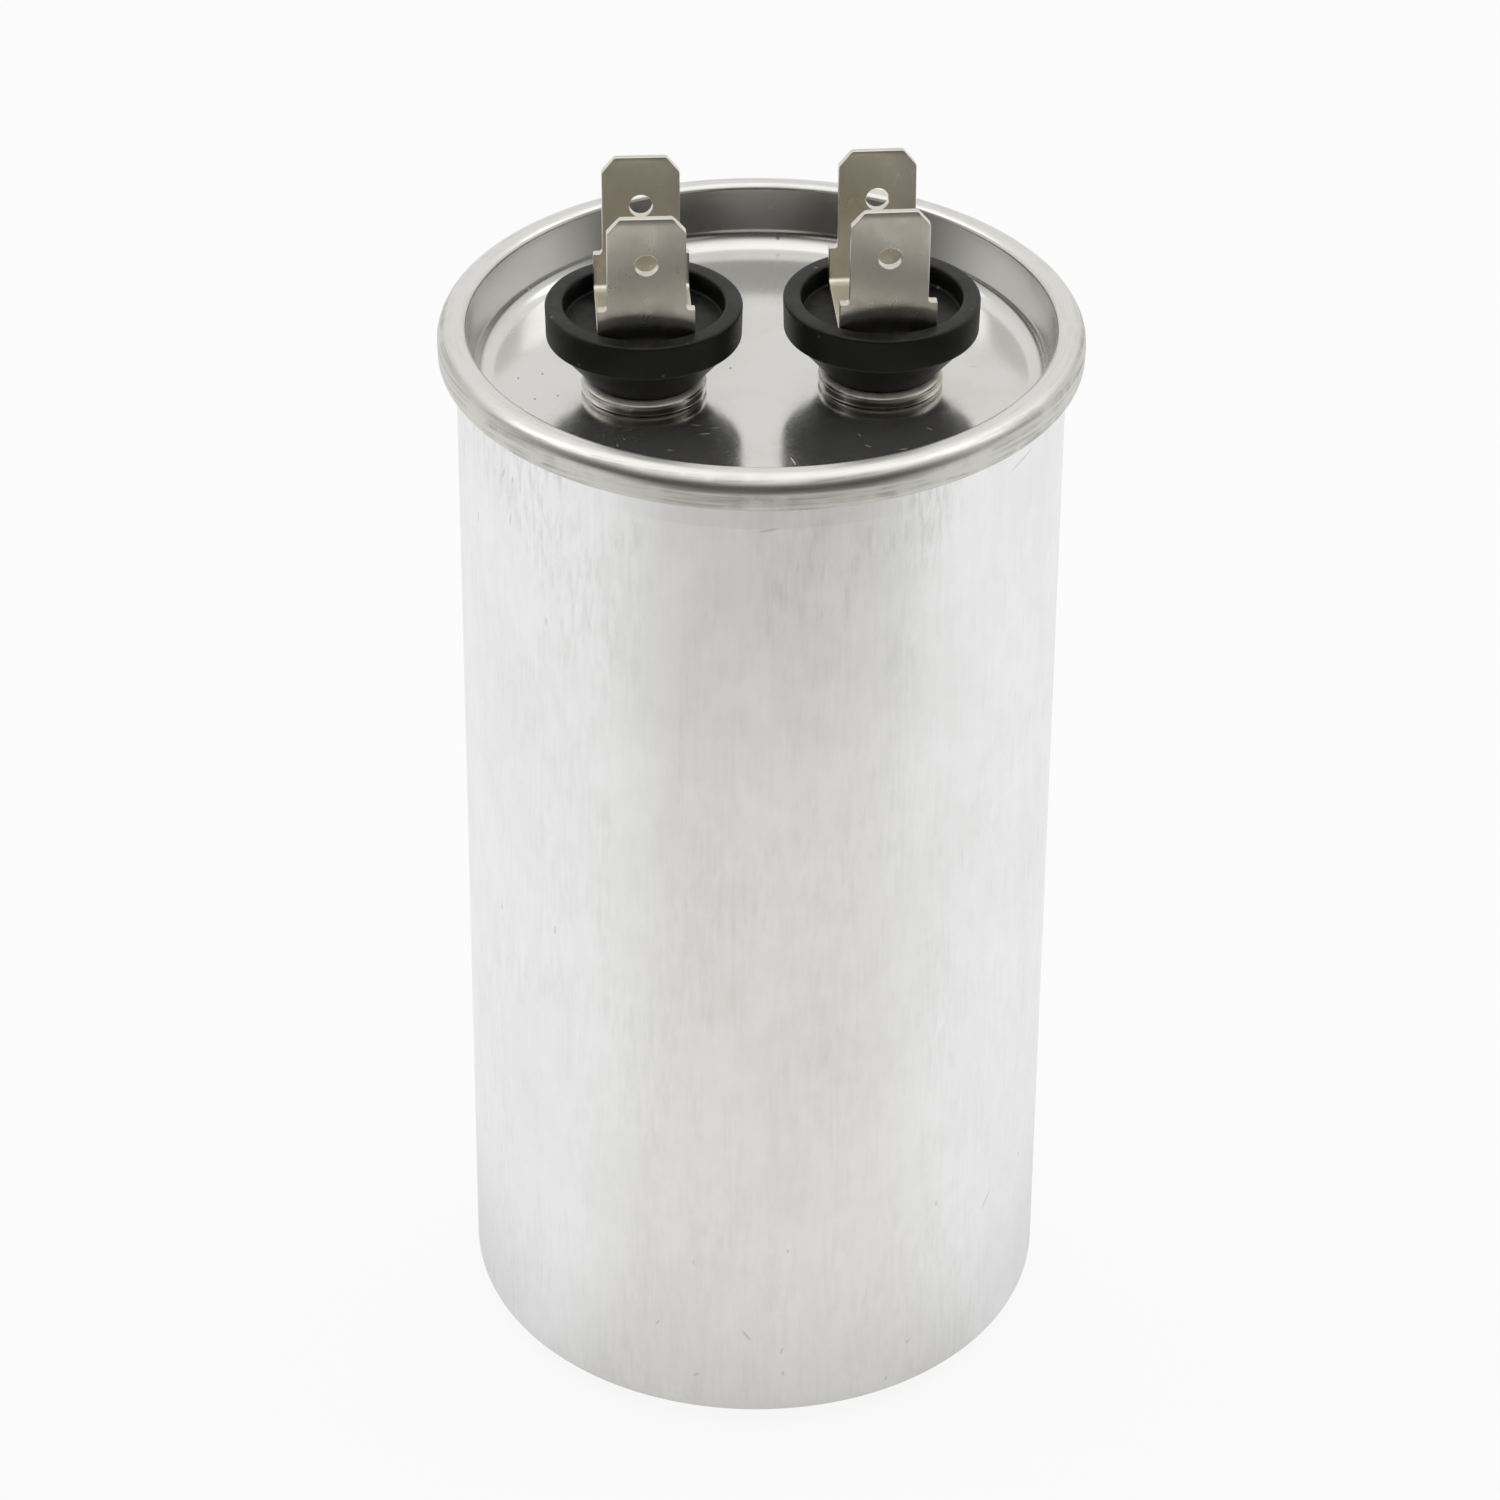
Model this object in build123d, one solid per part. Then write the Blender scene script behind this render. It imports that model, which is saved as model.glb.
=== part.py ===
from build123d import *
import math
import os

# Motor run capacitor, in millimetres with +Z up.
# The origin is the middle of the can's flat bottom. The two terminals stand in a row along X.

# Can
can_radius = 25.0
can_sheet = 0.4
can_corner = 2.9
can_height = 95.5

# Lid
lid_sheet = 0.42
panel_depth = 5.5
wall_lean = 0.95
panel_bend = 1.7

# Double seam
seam_height = 3.1
seam_outer_bend = 1.2
seam_bend_share = 0.9
seam_taper = 0.08
seam_gap = 0.1
chuck_gap = 0.03
seal_depth = 0.25
seal_width = 0.26
seal_clearance = 0.02
hook_relief = 0.05
fold_share = 0.98
tuck_drop = 2.2
tuck_depth = 0.04
tuck_bend = 3.0

# Terminal row
terminal_spacing = 19.4
row_offset = 1.2
left_turn = -0.9
right_turn = 0.3

# Moulded bushing
cup_radius = 8.05
cup_draft = 0.08
cup_wall = 1.48
cup_top = 8.0
cup_height = 3.0
cup_depth = 1.7
cup_edge = 0.25
cone_step = 0.37
cone_lip = 0.4
neck_radius = 4.05
neck_reach = 0.7

# Rolled eyelet
eyelet_sheet = 0.3
eyelet_height = 1.3
eyelet_reach = 0.7
eyelet_flange = 5.6
eyelet_fit = 0.1
eyelet_curl = 0.2
crown_share = 0.65
curl_drop = 0.3
curl_reach = 0.18

# Terminal strip, folded into a U with two blades
strip = 0.8
strip_width = 7.85
strip_bend = 0.9
blade_width = 6.35
blade_length = 8.4
blade_root = 2.9
blade_pitch = 9.5
blade_splay = 0.7
tip_width = 4.2
tip_slope = 1.3
tip_bevel = 0.55
tip_bevel_depth = 0.2
tip_round = 0.35
shoulder_round = 0.15
detent_radius = 0.95
detent_drop = 4.2

# Rivet through terminal, bushing and lug
rivet_radius = 1.6
rivet_fit = 0.1
rivet_head_radius = 2.6
rivet_head = 0.9
rivet_head_round = 0.5
rivet_tail_radius = 2.4
rivet_tail = 0.8
rivet_tail_round = 0.3

# Lower insulator and solder lug under the lid
insulator_radius = 6.5
insulator_thickness = 1.5
insulator_fit = 0.1
insulator_edge = 0.3
lug_sheet = 0.5
lug_width = 5.0
lug_reach = 5.6
lug_drop = 4.6
lug_bend = 0.9
lug_eye_radius = 0.8
lug_eye_rise = 1.6

# Wound element
head_space = 14.28
core_radius = 5.0
core_bore = 3.5
core_end = 0.8
spray_thickness = 0.8
spray_margin = 0.4
wrap_thickness = 0.4
winding_fit = 0.05

# Bottom cup
cup_fit = 0.3
base_cup_floor = 1.2
base_cup_wall = 1.4
base_cup_ledge = 3.6
base_cup_ledge_width = 3.8
base_cup_rise = 9.0
base_cup_fit = 0.15

# Interrupter disc
disc_thickness = 1.5
disc_foot_height = 3.7
disc_foot_radius = 1.5
disc_foot_circle = 17.5
disc_foot_count = 4
disc_rim_clearance = 0.3
disc_rim_wall = 1.2
disc_rim_gap = 0.1
disc_edge = 0.4
vent_radius = 1.4
vent_circle = 14.0
vent_count = 6

# Leads
lead_radius = 0.9
lead_gap = 0.05
lead_hole_gap = 0.3
lead_top_drop = 1.2
lead_slope_drop = 4.3
lead_turn = 2.0
lead_foot = 7.0
lead_foot_bend = 1.8

# Every cut runs past the material by this much
overrun = 1.0

# Levels of the can and the seam
can_bore = can_radius - can_sheet
panel_top = can_height - panel_depth
panel_under = panel_top - lid_sheet
seam_bottom = can_height - seam_height
tuck_bottom = seam_bottom - tuck_drop

# Mid lines of the five layers of the seam, from the inside out
body_line = can_radius - can_sheet / 2
tuck_line = body_line - tuck_depth
chuck_line = tuck_line - can_sheet / 2 - chuck_gap - lid_sheet / 2
panel_radius = chuck_line - wall_lean
cover_hook_line = can_radius + seam_gap + lid_sheet / 2
body_hook_line = cover_hook_line + lid_sheet / 2 + seam_gap + can_sheet / 2
seam_line = body_hook_line + can_sheet / 2 + seam_gap + lid_sheet / 2
body_fold = fold_share * (body_hook_line - tuck_line) / 2
foot_line = seam_line - seam_taper
cover_fold = fold_share * (foot_line - cover_hook_line) / 2
seam_inner_bend = seam_bend_share * (seam_line - chuck_line - seam_outer_bend)
body_fold_top = can_height - lid_sheet - seal_depth - can_sheet / 2
cover_fold_bottom = seam_bottom + lid_sheet / 2
cover_hook_end = body_fold_top - body_fold - hook_relief
body_hook_end = cover_fold_bottom + cover_fold + hook_relief

# Levels along a terminal
cup_rim = panel_top + cup_top
cup_floor = cup_rim - cup_depth
cup_under = cup_rim - cup_height
neck_top = panel_top + eyelet_height
cup_foot_radius = cup_radius - cup_draft
cone_radius = cup_foot_radius - cone_step
strip_top = cup_floor + strip
shoulder = strip_top + blade_root
blade_top = shoulder + blade_length
flange_under = panel_under - eyelet_sheet
neck_end = flange_under - neck_reach
insulator_under = neck_end - insulator_thickness
lug_under = insulator_under - lug_sheet
lug_end = insulator_under - lug_drop
eyelet_bore = neck_radius + eyelet_fit
eyelet_line = eyelet_bore + eyelet_sheet / 2
eyelet_roll = eyelet_line + eyelet_reach
eyelet_crown = crown_share * eyelet_reach
cone_foot_radius = neck_radius + cone_lip
lid_hole = eyelet_bore + eyelet_sheet + eyelet_fit
shank_hole = rivet_radius + rivet_fit

# Levels of the wound element
base_cup_top = can_sheet + base_cup_floor
ledge_top = base_cup_top + base_cup_ledge
winding_bottom = ledge_top + spray_thickness
spray_top = insulator_under - head_space
winding_top = spray_top - spray_thickness
disc_bottom = spray_top + disc_foot_height
disc_top = disc_bottom + disc_thickness
inner_radius = can_bore - cup_fit
base_cup_bore = inner_radius - base_cup_wall
wrap_radius = base_cup_bore - base_cup_fit
wrap_bore = wrap_radius - wrap_thickness
winding_radius = wrap_bore - winding_fit
spray_bore = core_radius + winding_fit
insulator_reach = math.hypot(terminal_spacing / 2, row_offset) + insulator_radius
disc_rim_bore = insulator_reach + disc_rim_clearance
disc_rim_radius = disc_rim_bore + disc_rim_wall

# Places of the leads
lead_row = lug_reach + lug_sheet / 2 + lead_gap + lead_radius - row_offset
lead_start = insulator_under - lug_sheet - lead_top_drop
lead_low = lead_start - lead_slope_drop
lead_mouth = disc_top + lead_turn
lead_hole = lead_radius + lead_hole_gap


def sheet_section(corners, bends, sheet, bevel=0, bevel_depth=0):
    """Closed outline of a bent sheet, from its mid line's corners and the bend radius at each."""
    points = [Vector(x, y) for x, y in corners]
    runs = [(b - a).normalized() for a, b in zip(points, points[1:])]
    normals = [Vector(-run.Y, run.X) for run in runs]
    edges = []
    ends = {}
    for side in (1, -1):
        half = side * sheet / 2
        line = [points[0] + normals[0] * half + runs[0] * bevel]
        radii = []
        for place, bend in enumerate(bends):
            before, after = normals[place], normals[place + 1]
            miter = (before + after) / (1 + before.dot(after))
            turn = runs[place].cross(runs[place + 1]).Z
            line.append(points[place + 1] + miter * half)
            radii.append(bend - math.copysign(half, half * turn))
        line.append(points[-1] + normals[-1] * half - runs[-1] * bevel)
        edges.append(FilletPolyline(*line, radius=radii))
        ends[side] = (line[0], line[-1])
    for place, tip in ((0, points[0]), (1, points[-1])):
        across = normals[-place] * (sheet / 2 - bevel_depth)
        outline = [ends[1][place], ends[-1][place]]
        if bevel > 0:
            outline = [ends[1][place], tip + across, tip - across, ends[-1][place]]
        edges.append(Polyline(*outline))
    return make_face(edges)


def turned(profile):
    """Solid turned about Z, from corners given as radius, height and fillet."""
    corners = [(radius, height) for radius, height, _ in profile]
    fillets = [round_off for _, _, round_off in profile]
    outline = Polyline(*corners, close=True)
    if any(fillets):
        outline = FilletPolyline(*corners, radius=fillets, close=True)
    return revolve(Plane.XZ * make_face(outline), Axis.Z)


def tube(outer, inner, bottom, top):
    """Plain ring between two radii and two levels."""
    return turned([(inner, bottom, 0), (outer, bottom, 0), (outer, top, 0), (inner, top, 0)])


def bore(radius, bottom, top):
    """Round cutter that runs past both levels."""
    height = top - bottom + overrun * 2
    return Pos(0, 0, bottom - overrun) * extrude(Circle(radius), height)


def make_can():
    """Drawn can, pressed in a little under the seam, whose top edge turns out and down as the body hook."""
    corners = [
        (0, can_sheet / 2),
        (body_line, can_sheet / 2),
        (body_line, tuck_bottom),
        (tuck_line, seam_bottom),
        (tuck_line, body_fold_top),
        (body_hook_line, body_fold_top),
        (body_hook_line, body_hook_end),
    ]
    bends = [can_corner - can_sheet / 2, tuck_bend, tuck_bend, body_fold, body_fold]
    return revolve(Plane.XZ * sheet_section(corners, bends, can_sheet), Axis.Z)


def make_lid():
    """Lid with its countersink, folded over the body hook and up inside it as the cover hook."""
    corners = [
        (0, panel_top - lid_sheet / 2),
        (panel_radius, panel_top - lid_sheet / 2),
        (chuck_line, can_height - lid_sheet / 2),
        (seam_line, can_height - lid_sheet / 2),
        (foot_line, cover_fold_bottom),
        (cover_hook_line, cover_fold_bottom),
        (cover_hook_line, cover_hook_end),
    ]
    bends = [panel_bend, seam_inner_bend, seam_outer_bend, cover_fold, cover_fold]
    lid = revolve(Plane.XZ * sheet_section(corners, bends, lid_sheet), Axis.Z)
    for place in (-1, 1):
        lid -= Pos(place * terminal_spacing / 2, -row_offset) * bore(lid_hole, panel_under, panel_top)
    return lid


def make_seam_seal():
    """Ring of compound between the top of the body hook and the lid."""
    middle = (chuck_line + seam_inner_bend + seam_line - seam_outer_bend) / 2
    top = can_height - lid_sheet - seal_clearance
    bottom = body_fold_top + can_sheet / 2 + seal_clearance
    return tube(middle + seal_width / 2, middle - seal_width / 2, bottom, top)


def make_bushing():
    """Moulded cup on a tapered neck that passes through the lid."""
    return turned([
        (shank_hole, neck_end, 0),
        (neck_radius, neck_end, 0),
        (neck_radius, neck_top, 0),
        (cone_foot_radius, neck_top, 0),
        (cone_radius, cup_under, 0),
        (cup_foot_radius, cup_under, cup_edge),
        (cup_radius, cup_rim, cup_edge),
        (cup_radius - cup_wall, cup_rim, cup_edge),
        (cup_radius - cup_wall, cup_floor, cup_edge),
        (shank_hole, cup_floor, 0),
    ])


def make_eyelet():
    """Eyelet with a flat flange under the lid and a rolled edge on top of it."""
    crown = panel_top + eyelet_height - eyelet_sheet / 2
    corners = [
        (eyelet_flange, flange_under + eyelet_sheet / 2),
        (eyelet_line, flange_under + eyelet_sheet / 2),
        (eyelet_line, crown),
        (eyelet_roll, crown),
        (eyelet_roll, panel_top + curl_drop),
        (eyelet_roll - curl_reach, panel_top + eyelet_sheet / 2),
    ]
    bends = [eyelet_curl, eyelet_curl, eyelet_crown, eyelet_curl]
    return revolve(Plane.XZ * sheet_section(corners, bends, eyelet_sheet), Axis.Z)


def blade_outline():
    """Front view of the strip: wide root, shoulders and a blade with a sloped tip."""
    root, blade, tip = strip_width / 2, blade_width / 2, tip_width / 2
    slope_foot = blade_top - tip_slope
    right = [
        (root, cup_floor - overrun, 0),
        (root, shoulder, shoulder_round),
        (blade, shoulder, shoulder_round),
        (blade, slope_foot, tip_round),
        (tip, blade_top, tip_round),
    ]
    left = [(-x, z, round_off) for x, z, round_off in reversed(right)]
    corners = [(x, z) for x, z, _ in right + left]
    fillets = [round_off for _, _, round_off in right + left]
    return make_face(FilletPolyline(*corners, radius=fillets, close=True))


def make_terminal():
    """One strip folded into a U: flat base with a rivet hole and two blades with detent holes."""
    middle = cup_floor + strip / 2
    foot, head = blade_pitch / 2, blade_pitch / 2 + blade_splay
    corners = [(-head, blade_top), (-foot, middle), (foot, middle), (head, blade_top)]
    section = sheet_section(corners, [strip_bend, strip_bend], strip, tip_bevel, tip_bevel_depth)
    folded = extrude(Plane.YZ * section, strip_width, both=True)
    reach = head + strip
    terminal = folded & extrude(Plane.XZ * blade_outline(), reach, both=True)
    detent = Plane.XZ * (Pos(0, blade_top - detent_drop) * Circle(detent_radius))
    terminal -= extrude(detent, reach, both=True)
    return terminal - bore(shank_hole, cup_floor, strip_top)


def make_rivet():
    """Rivet with a domed head on the terminal's base and a formed tail under the lug."""
    return turned([
        (0, lug_under - rivet_tail, 0),
        (rivet_tail_radius, lug_under - rivet_tail, rivet_tail_round),
        (rivet_tail_radius, lug_under, 0),
        (rivet_radius, lug_under, 0),
        (rivet_radius, strip_top, 0),
        (rivet_head_radius, strip_top, 0),
        (rivet_head_radius, strip_top + rivet_head, rivet_head_round),
        (0, strip_top + rivet_head, 0),
    ])


def make_lower_insulator():
    """Insulating washer that takes the bushing's neck and the eyelet's flange in two steps."""
    return turned([
        (shank_hole, insulator_under, 0),
        (insulator_radius, insulator_under, insulator_edge),
        (insulator_radius, panel_under, 0),
        (eyelet_flange + insulator_fit, panel_under, 0),
        (eyelet_flange + insulator_fit, flange_under, 0),
        (neck_radius + insulator_fit, flange_under, 0),
        (neck_radius + insulator_fit, neck_end, 0),
        (shank_hole, neck_end, 0),
    ])


def make_lug():
    """Solder lug: a round eye on the rivet and a tail bent down, with a wire hole."""
    middle = insulator_under - lug_sheet / 2
    corners = [(-lug_width, middle), (lug_reach, middle), (lug_reach, lug_end)]
    strip_solid = extrude(Plane.YZ * sheet_section(corners, [lug_bend], lug_sheet), lug_width / 2, both=True)
    arm = Pos(0, lug_reach / 2) * Rectangle(lug_width, lug_reach)
    end = Pos(0, lug_reach) * Rectangle(lug_width, lug_sheet * 2)
    plan = Circle(lug_width / 2) + arm + end
    lug = strip_solid & extrude(Plane.XY.offset(lug_end - overrun) * plan, lug_drop + overrun * 2)
    eye = Plane.XZ * (Pos(0, lug_end + lug_eye_rise) * Circle(lug_eye_radius))
    lug -= extrude(eye, -(lug_reach + overrun))
    return lug - bore(shank_hole, lug_under, insulator_under)


def make_lead(points, bends):
    """Insulated lead along straight runs joined by arcs."""
    path = FilletPolyline(*points, radius=bends)
    start = Plane(origin=path @ 0, z_dir=path % 0)
    return sweep(start * Circle(lead_radius), path=path)


def make_left_lead():
    """Lead from the left lug across to the core tube, down through it and out under the roll."""
    x, y = -terminal_spacing / 2, lead_row
    foot = ledge_top - lead_radius - lead_gap
    return make_lead(
        [(x, y, lead_start), (x, y, lead_low), (0, 0, lead_mouth), (0, 0, foot), (x, 0, foot)],
        [lead_turn, lead_turn, lead_foot_bend],
    )


def make_right_lead():
    """Lead from the right lug straight down to a foot on the roll's upper end."""
    x, y = terminal_spacing / 2, lead_row
    foot = spray_top + lead_radius + lead_gap
    return make_lead([(x, y, lead_start), (x, y, foot), (x, y + lead_foot, foot)], [lead_foot_bend])


def make_interrupter_disc():
    """Disc on feet above the roll, with a rim up to the lid and holes for leads and fluid."""
    disc = turned([
        (0, disc_bottom, 0),
        (inner_radius, disc_bottom, disc_edge),
        (inner_radius, disc_top, disc_edge),
        (disc_rim_radius, disc_top, 0),
        (disc_rim_radius, panel_under - disc_rim_gap, 0),
        (disc_rim_bore, panel_under - disc_rim_gap, 0),
        (disc_rim_bore, disc_top, 0),
        (0, disc_top, 0),
    ])
    for place in PolarLocations(disc_foot_circle, disc_foot_count):
        disc += place * Pos(0, 0, spray_top) * extrude(Circle(disc_foot_radius), disc_foot_height)
    for place in PolarLocations(vent_circle, vent_count):
        disc -= place * bore(vent_radius, disc_bottom, disc_top)
    disc -= bore(lead_hole, disc_bottom, disc_top)
    return disc - Pos(terminal_spacing / 2, lead_row) * bore(lead_hole, disc_bottom, disc_top)


def make_bottom_cup():
    """Cup on the can's floor, with a ledge under the roll's edge and a wall round its foot."""
    ledge = base_cup_bore - base_cup_ledge_width
    rim = base_cup_top + base_cup_rise
    return turned([
        (0, can_sheet, 0),
        (inner_radius, can_sheet, can_corner - can_sheet),
        (inner_radius, rim, 0),
        (base_cup_bore, rim, 0),
        (base_cup_bore, ledge_top, 0),
        (ledge, ledge_top, 0),
        (ledge, base_cup_top, 0),
        (0, base_cup_top, 0),
    ])


def terminal_stack(name, side, turn):
    """The pieces of one terminal, each moved to its place in the row."""
    place = Pos(side * terminal_spacing / 2, -row_offset)
    return {
        f"{name}_bushing": place * make_bushing(),
        f"{name}_eyelet": place * make_eyelet(),
        f"{name}_terminal": place * Rot(0, 0, turn) * make_terminal(),
        f"{name}_rivet": place * make_rivet(),
        f"{name}_lower_insulator": place * make_lower_insulator(),
        f"{name}_lug": place * make_lug(),
    }


def wound_element():
    """The roll of film with its core, end contacts and wrap."""
    spray = winding_radius - spray_margin
    core_low, core_high = winding_bottom - spray_thickness, spray_top + core_end
    return {
        "winding": tube(winding_radius, spray_bore, winding_bottom, winding_top),
        "core_tube": tube(core_radius, core_bore, core_low, core_high),
        "bottom_end_spray": tube(spray, spray_bore, ledge_top, winding_bottom),
        "top_end_spray": tube(spray, spray_bore, winding_top, spray_top),
        "winding_wrap": tube(wrap_radius, wrap_bore, ledge_top, spray_top),
    }


def build():
    """Every node by name."""
    nodes = {"can": make_can(), "lid": make_lid(), "seam_seal": make_seam_seal()}
    nodes |= terminal_stack("left", -1, left_turn)
    nodes |= terminal_stack("right", 1, right_turn)
    nodes |= wound_element()
    nodes["left_lead"] = make_left_lead()
    nodes["right_lead"] = make_right_lead()
    nodes["interrupter_disc"] = make_interrupter_disc()
    nodes["bottom_cup"] = make_bottom_cup()
    return nodes


os.makedirs("parts", exist_ok=True)
for name, solid in build().items():
    export_step(solid, f"parts/{name}.step")
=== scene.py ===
"""Dresses the motor run capacitor: a drawn can, a double-seamed lid and two folded blade terminals.

Sizes are in metres. The can stands on its flat bottom with its axis along Z, and the terminals stand
in a row along X. Every sub-assembly is a class that builds its meshes and gives them their finishes.
"""

import logging
import math
from collections.abc import Callable, Sequence
from dataclasses import dataclass, field, replace
from enum import Enum
from functools import reduce

import bmesh
import bpy
from mathutils import Matrix, Vector
from mathutils.geometry import delaunay_2d_cdt


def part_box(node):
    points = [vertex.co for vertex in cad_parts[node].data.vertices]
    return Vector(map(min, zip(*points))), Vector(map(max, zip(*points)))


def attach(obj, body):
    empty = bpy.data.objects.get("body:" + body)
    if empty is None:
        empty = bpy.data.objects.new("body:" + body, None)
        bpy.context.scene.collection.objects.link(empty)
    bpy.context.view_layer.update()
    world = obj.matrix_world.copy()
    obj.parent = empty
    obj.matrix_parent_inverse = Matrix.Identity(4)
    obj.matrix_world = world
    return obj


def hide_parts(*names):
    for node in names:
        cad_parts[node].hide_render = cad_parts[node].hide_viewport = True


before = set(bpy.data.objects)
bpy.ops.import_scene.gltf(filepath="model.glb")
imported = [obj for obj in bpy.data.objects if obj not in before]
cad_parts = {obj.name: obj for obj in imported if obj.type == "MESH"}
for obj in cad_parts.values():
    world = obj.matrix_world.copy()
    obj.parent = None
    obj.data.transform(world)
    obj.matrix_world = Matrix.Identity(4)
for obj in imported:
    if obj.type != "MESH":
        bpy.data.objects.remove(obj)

MM = 0.001
ROOT = "root"
UP = Vector((0.0, 0.0, 1.0))
FRONT = Vector((0.0, -1.0, 0.0))
Point = tuple[float, float]
Colour = tuple[float, float, float]
Socket = bpy.types.NodeSocket
Corner = bmesh.types.BMVert
Placing = Callable[[float, float, float], Vector]
Ripple = Callable[[float, float, float], float]
log = logging.getLogger("capacitor")

# Lengths closer than this count as the same
SAME = 1e-8
# Turns below this leave a corner sharp
STRAIGHT_DEG = 0.1
# Least share of its full length that a mitered corner keeps
LEAST_MITER = 0.35
# Share of the room between the two legs of a fold that its bend takes
FOLD_SHARE = 0.98
# Tolerance of the filling triangles in millimetres, and share of a hole's radius that counts as open
FILL_TOLERANCE = 1e-7
HOLE_SHARE = 0.999
# Solid share of a scattered mark's radius, and width of the step from bare cells to marked ones
MARK_CORE = 0.45
CELL_EDGE = 0.02
# Solid share of a single mark, and how far it reaches along its normal
SCRATCH_CORE = 0.4
MARK_REACH = 4 * MM


class Slot(Enum):
    """Material slots of the record, one for each kind of new piece."""

    CAN = "can_aluminium"
    LID = "lid_steel"
    BUSHING = "bushing_plastic"
    EYELET = "eyelet_plate"
    TERMINAL = "terminal_plate"
    RIVET = "rivet_steel"


class Side(Enum):
    """The two terminals of the row, by the prefix of their nodes."""

    LEFT = "left"
    RIGHT = "right"


# Outlines and meshes


def fillet(before: Vector, corner: Vector, after: Vector, radius: float, step: float) -> list[Vector]:
    """Points of the arc that rounds one corner of an outline.

    Args:
        before: The point before the corner.
        corner: The corner itself.
        after: The point after the corner.
        radius: Radius of the arc, or zero for a sharp corner.
        step: Largest angle between two points of the arc, in radians.

    Returns:
        The arc's points in order, or the corner alone where it stays sharp.
    """
    arrive = (corner - before).normalized()
    leave = (after - corner).normalized()
    turn = math.atan2(arrive.x * leave.y - arrive.y * leave.x, arrive.dot(leave))
    if radius <= 0 or abs(turn) < math.radians(STRAIGHT_DEG):
        return [corner]
    reach = radius * math.tan(abs(turn) / 2)
    start = corner - arrive * reach
    inward = Vector((-arrive.y, arrive.x)) * math.copysign(1, turn)
    centre = start + inward * radius
    count = max(2, math.ceil(abs(turn) / step))
    spoke = start - centre
    return [centre + Matrix.Rotation(turn * i / count, 2) @ spoke for i in range(count + 1)]


def rounded(corners: Sequence[Vector], radii: Sequence[float], step: float, closed: bool) -> list[Vector]:
    """A line through corners, with an arc at each corner that has a radius.

    Args:
        corners: The corners in order.
        radii: One radius for each corner, or for each inner corner of an open line.
        step: Largest angle between two points of an arc, in radians.
        closed: Whether the last corner joins the first.

    Returns:
        The points of the rounded line.
    """
    count = len(corners)
    if closed:
        line = []
        for i in range(count):
            line += fillet(corners[i - 1], corners[i], corners[(i + 1) % count], radii[i], step)
        return line
    line = [corners[0]]
    for i in range(1, count - 1):
        line += fillet(corners[i - 1], corners[i], corners[i + 1], radii[i - 1], step)
    return line + [corners[-1]]


def profile(corners: Sequence[tuple[float, float, float]], step_deg: float = 12.0) -> list[Vector]:
    """Closed outline through corners that each give a place and the radius of their rounding."""
    line = [Vector((x, y)) for x, y, _ in corners]
    return rounded(line, [bend for _, _, bend in corners], math.radians(step_deg), closed=True)


@dataclass(frozen=True)
class BentSheet:
    """A sheet bent along a mid line, seen in section.

    Args:
        corners: Corners of the mid line.
        bends: Bend radius of the mid line at each inner corner.
        sheet: Thickness.
        step_deg: Largest angle between two points of a bend.
    """

    corners: Sequence[Point]
    bends: Sequence[float]
    sheet: float
    step_deg: float = 9.0

    def side(self, half: float) -> list[Vector]:
        """One face of the sheet.

        Args:
            half: Distance from the mid line, positive to its left.

        Returns:
            The face's line from the first corner to the last.
        """
        points = [Vector(corner) for corner in self.corners]
        runs = [(b - a).normalized() for a, b in zip(points, points[1:])]
        normals = [Vector((-run.y, run.x)) for run in runs]
        line = [points[0] + normals[0] * half]
        radii = []
        for i, bend in enumerate(self.bends):
            before, after = normals[i], normals[i + 1]
            miter = (before + after) / (1 + before.dot(after))
            turn = runs[i].x * runs[i + 1].y - runs[i].y * runs[i + 1].x
            line.append(points[i + 1] + miter * half)
            radii.append(max(0.0, bend - math.copysign(half, half * turn)))
        line.append(points[-1] + normals[-1] * half)
        return rounded(line, radii, math.radians(self.step_deg), closed=False)

    def outline(self) -> list[Vector]:
        """The closed outline: one face forwards and the other backwards."""
        return self.side(self.sheet / 2) + self.side(-self.sheet / 2)[::-1]


def circle(radius: float, count: int, centre: Point = (0.0, 0.0)) -> list[Vector]:
    """Points evenly spaced round a circle."""
    angles = (math.tau * i / count for i in range(count))
    return [Vector((centre[0] + radius * math.cos(a), centre[1] + radius * math.sin(a))) for a in angles]


def inset(loop: Sequence[Vector], distance: float, hole: bool = False) -> list[Vector]:
    """A closed outline moved into the material.

    Args:
        loop: Points of the outline, counter-clockwise.
        distance: How far each side moves.
        hole: Whether the loop bounds a hole, so that it grows instead.

    Returns:
        The moved points, one for each point of the loop.
    """
    moved = []
    for i, point in enumerate(loop):
        arrive = (point - loop[i - 1]).normalized()
        leave = (loop[(i + 1) % len(loop)] - point).normalized()
        normal = (Vector((arrive.y, -arrive.x)) + Vector((leave.y, -leave.x))).normalized()
        stretch = max(LEAST_MITER, normal.dot(Vector((arrive.y, -arrive.x))))
        moved.append(point + normal * (distance if hole else -distance) / stretch)
    return moved


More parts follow.
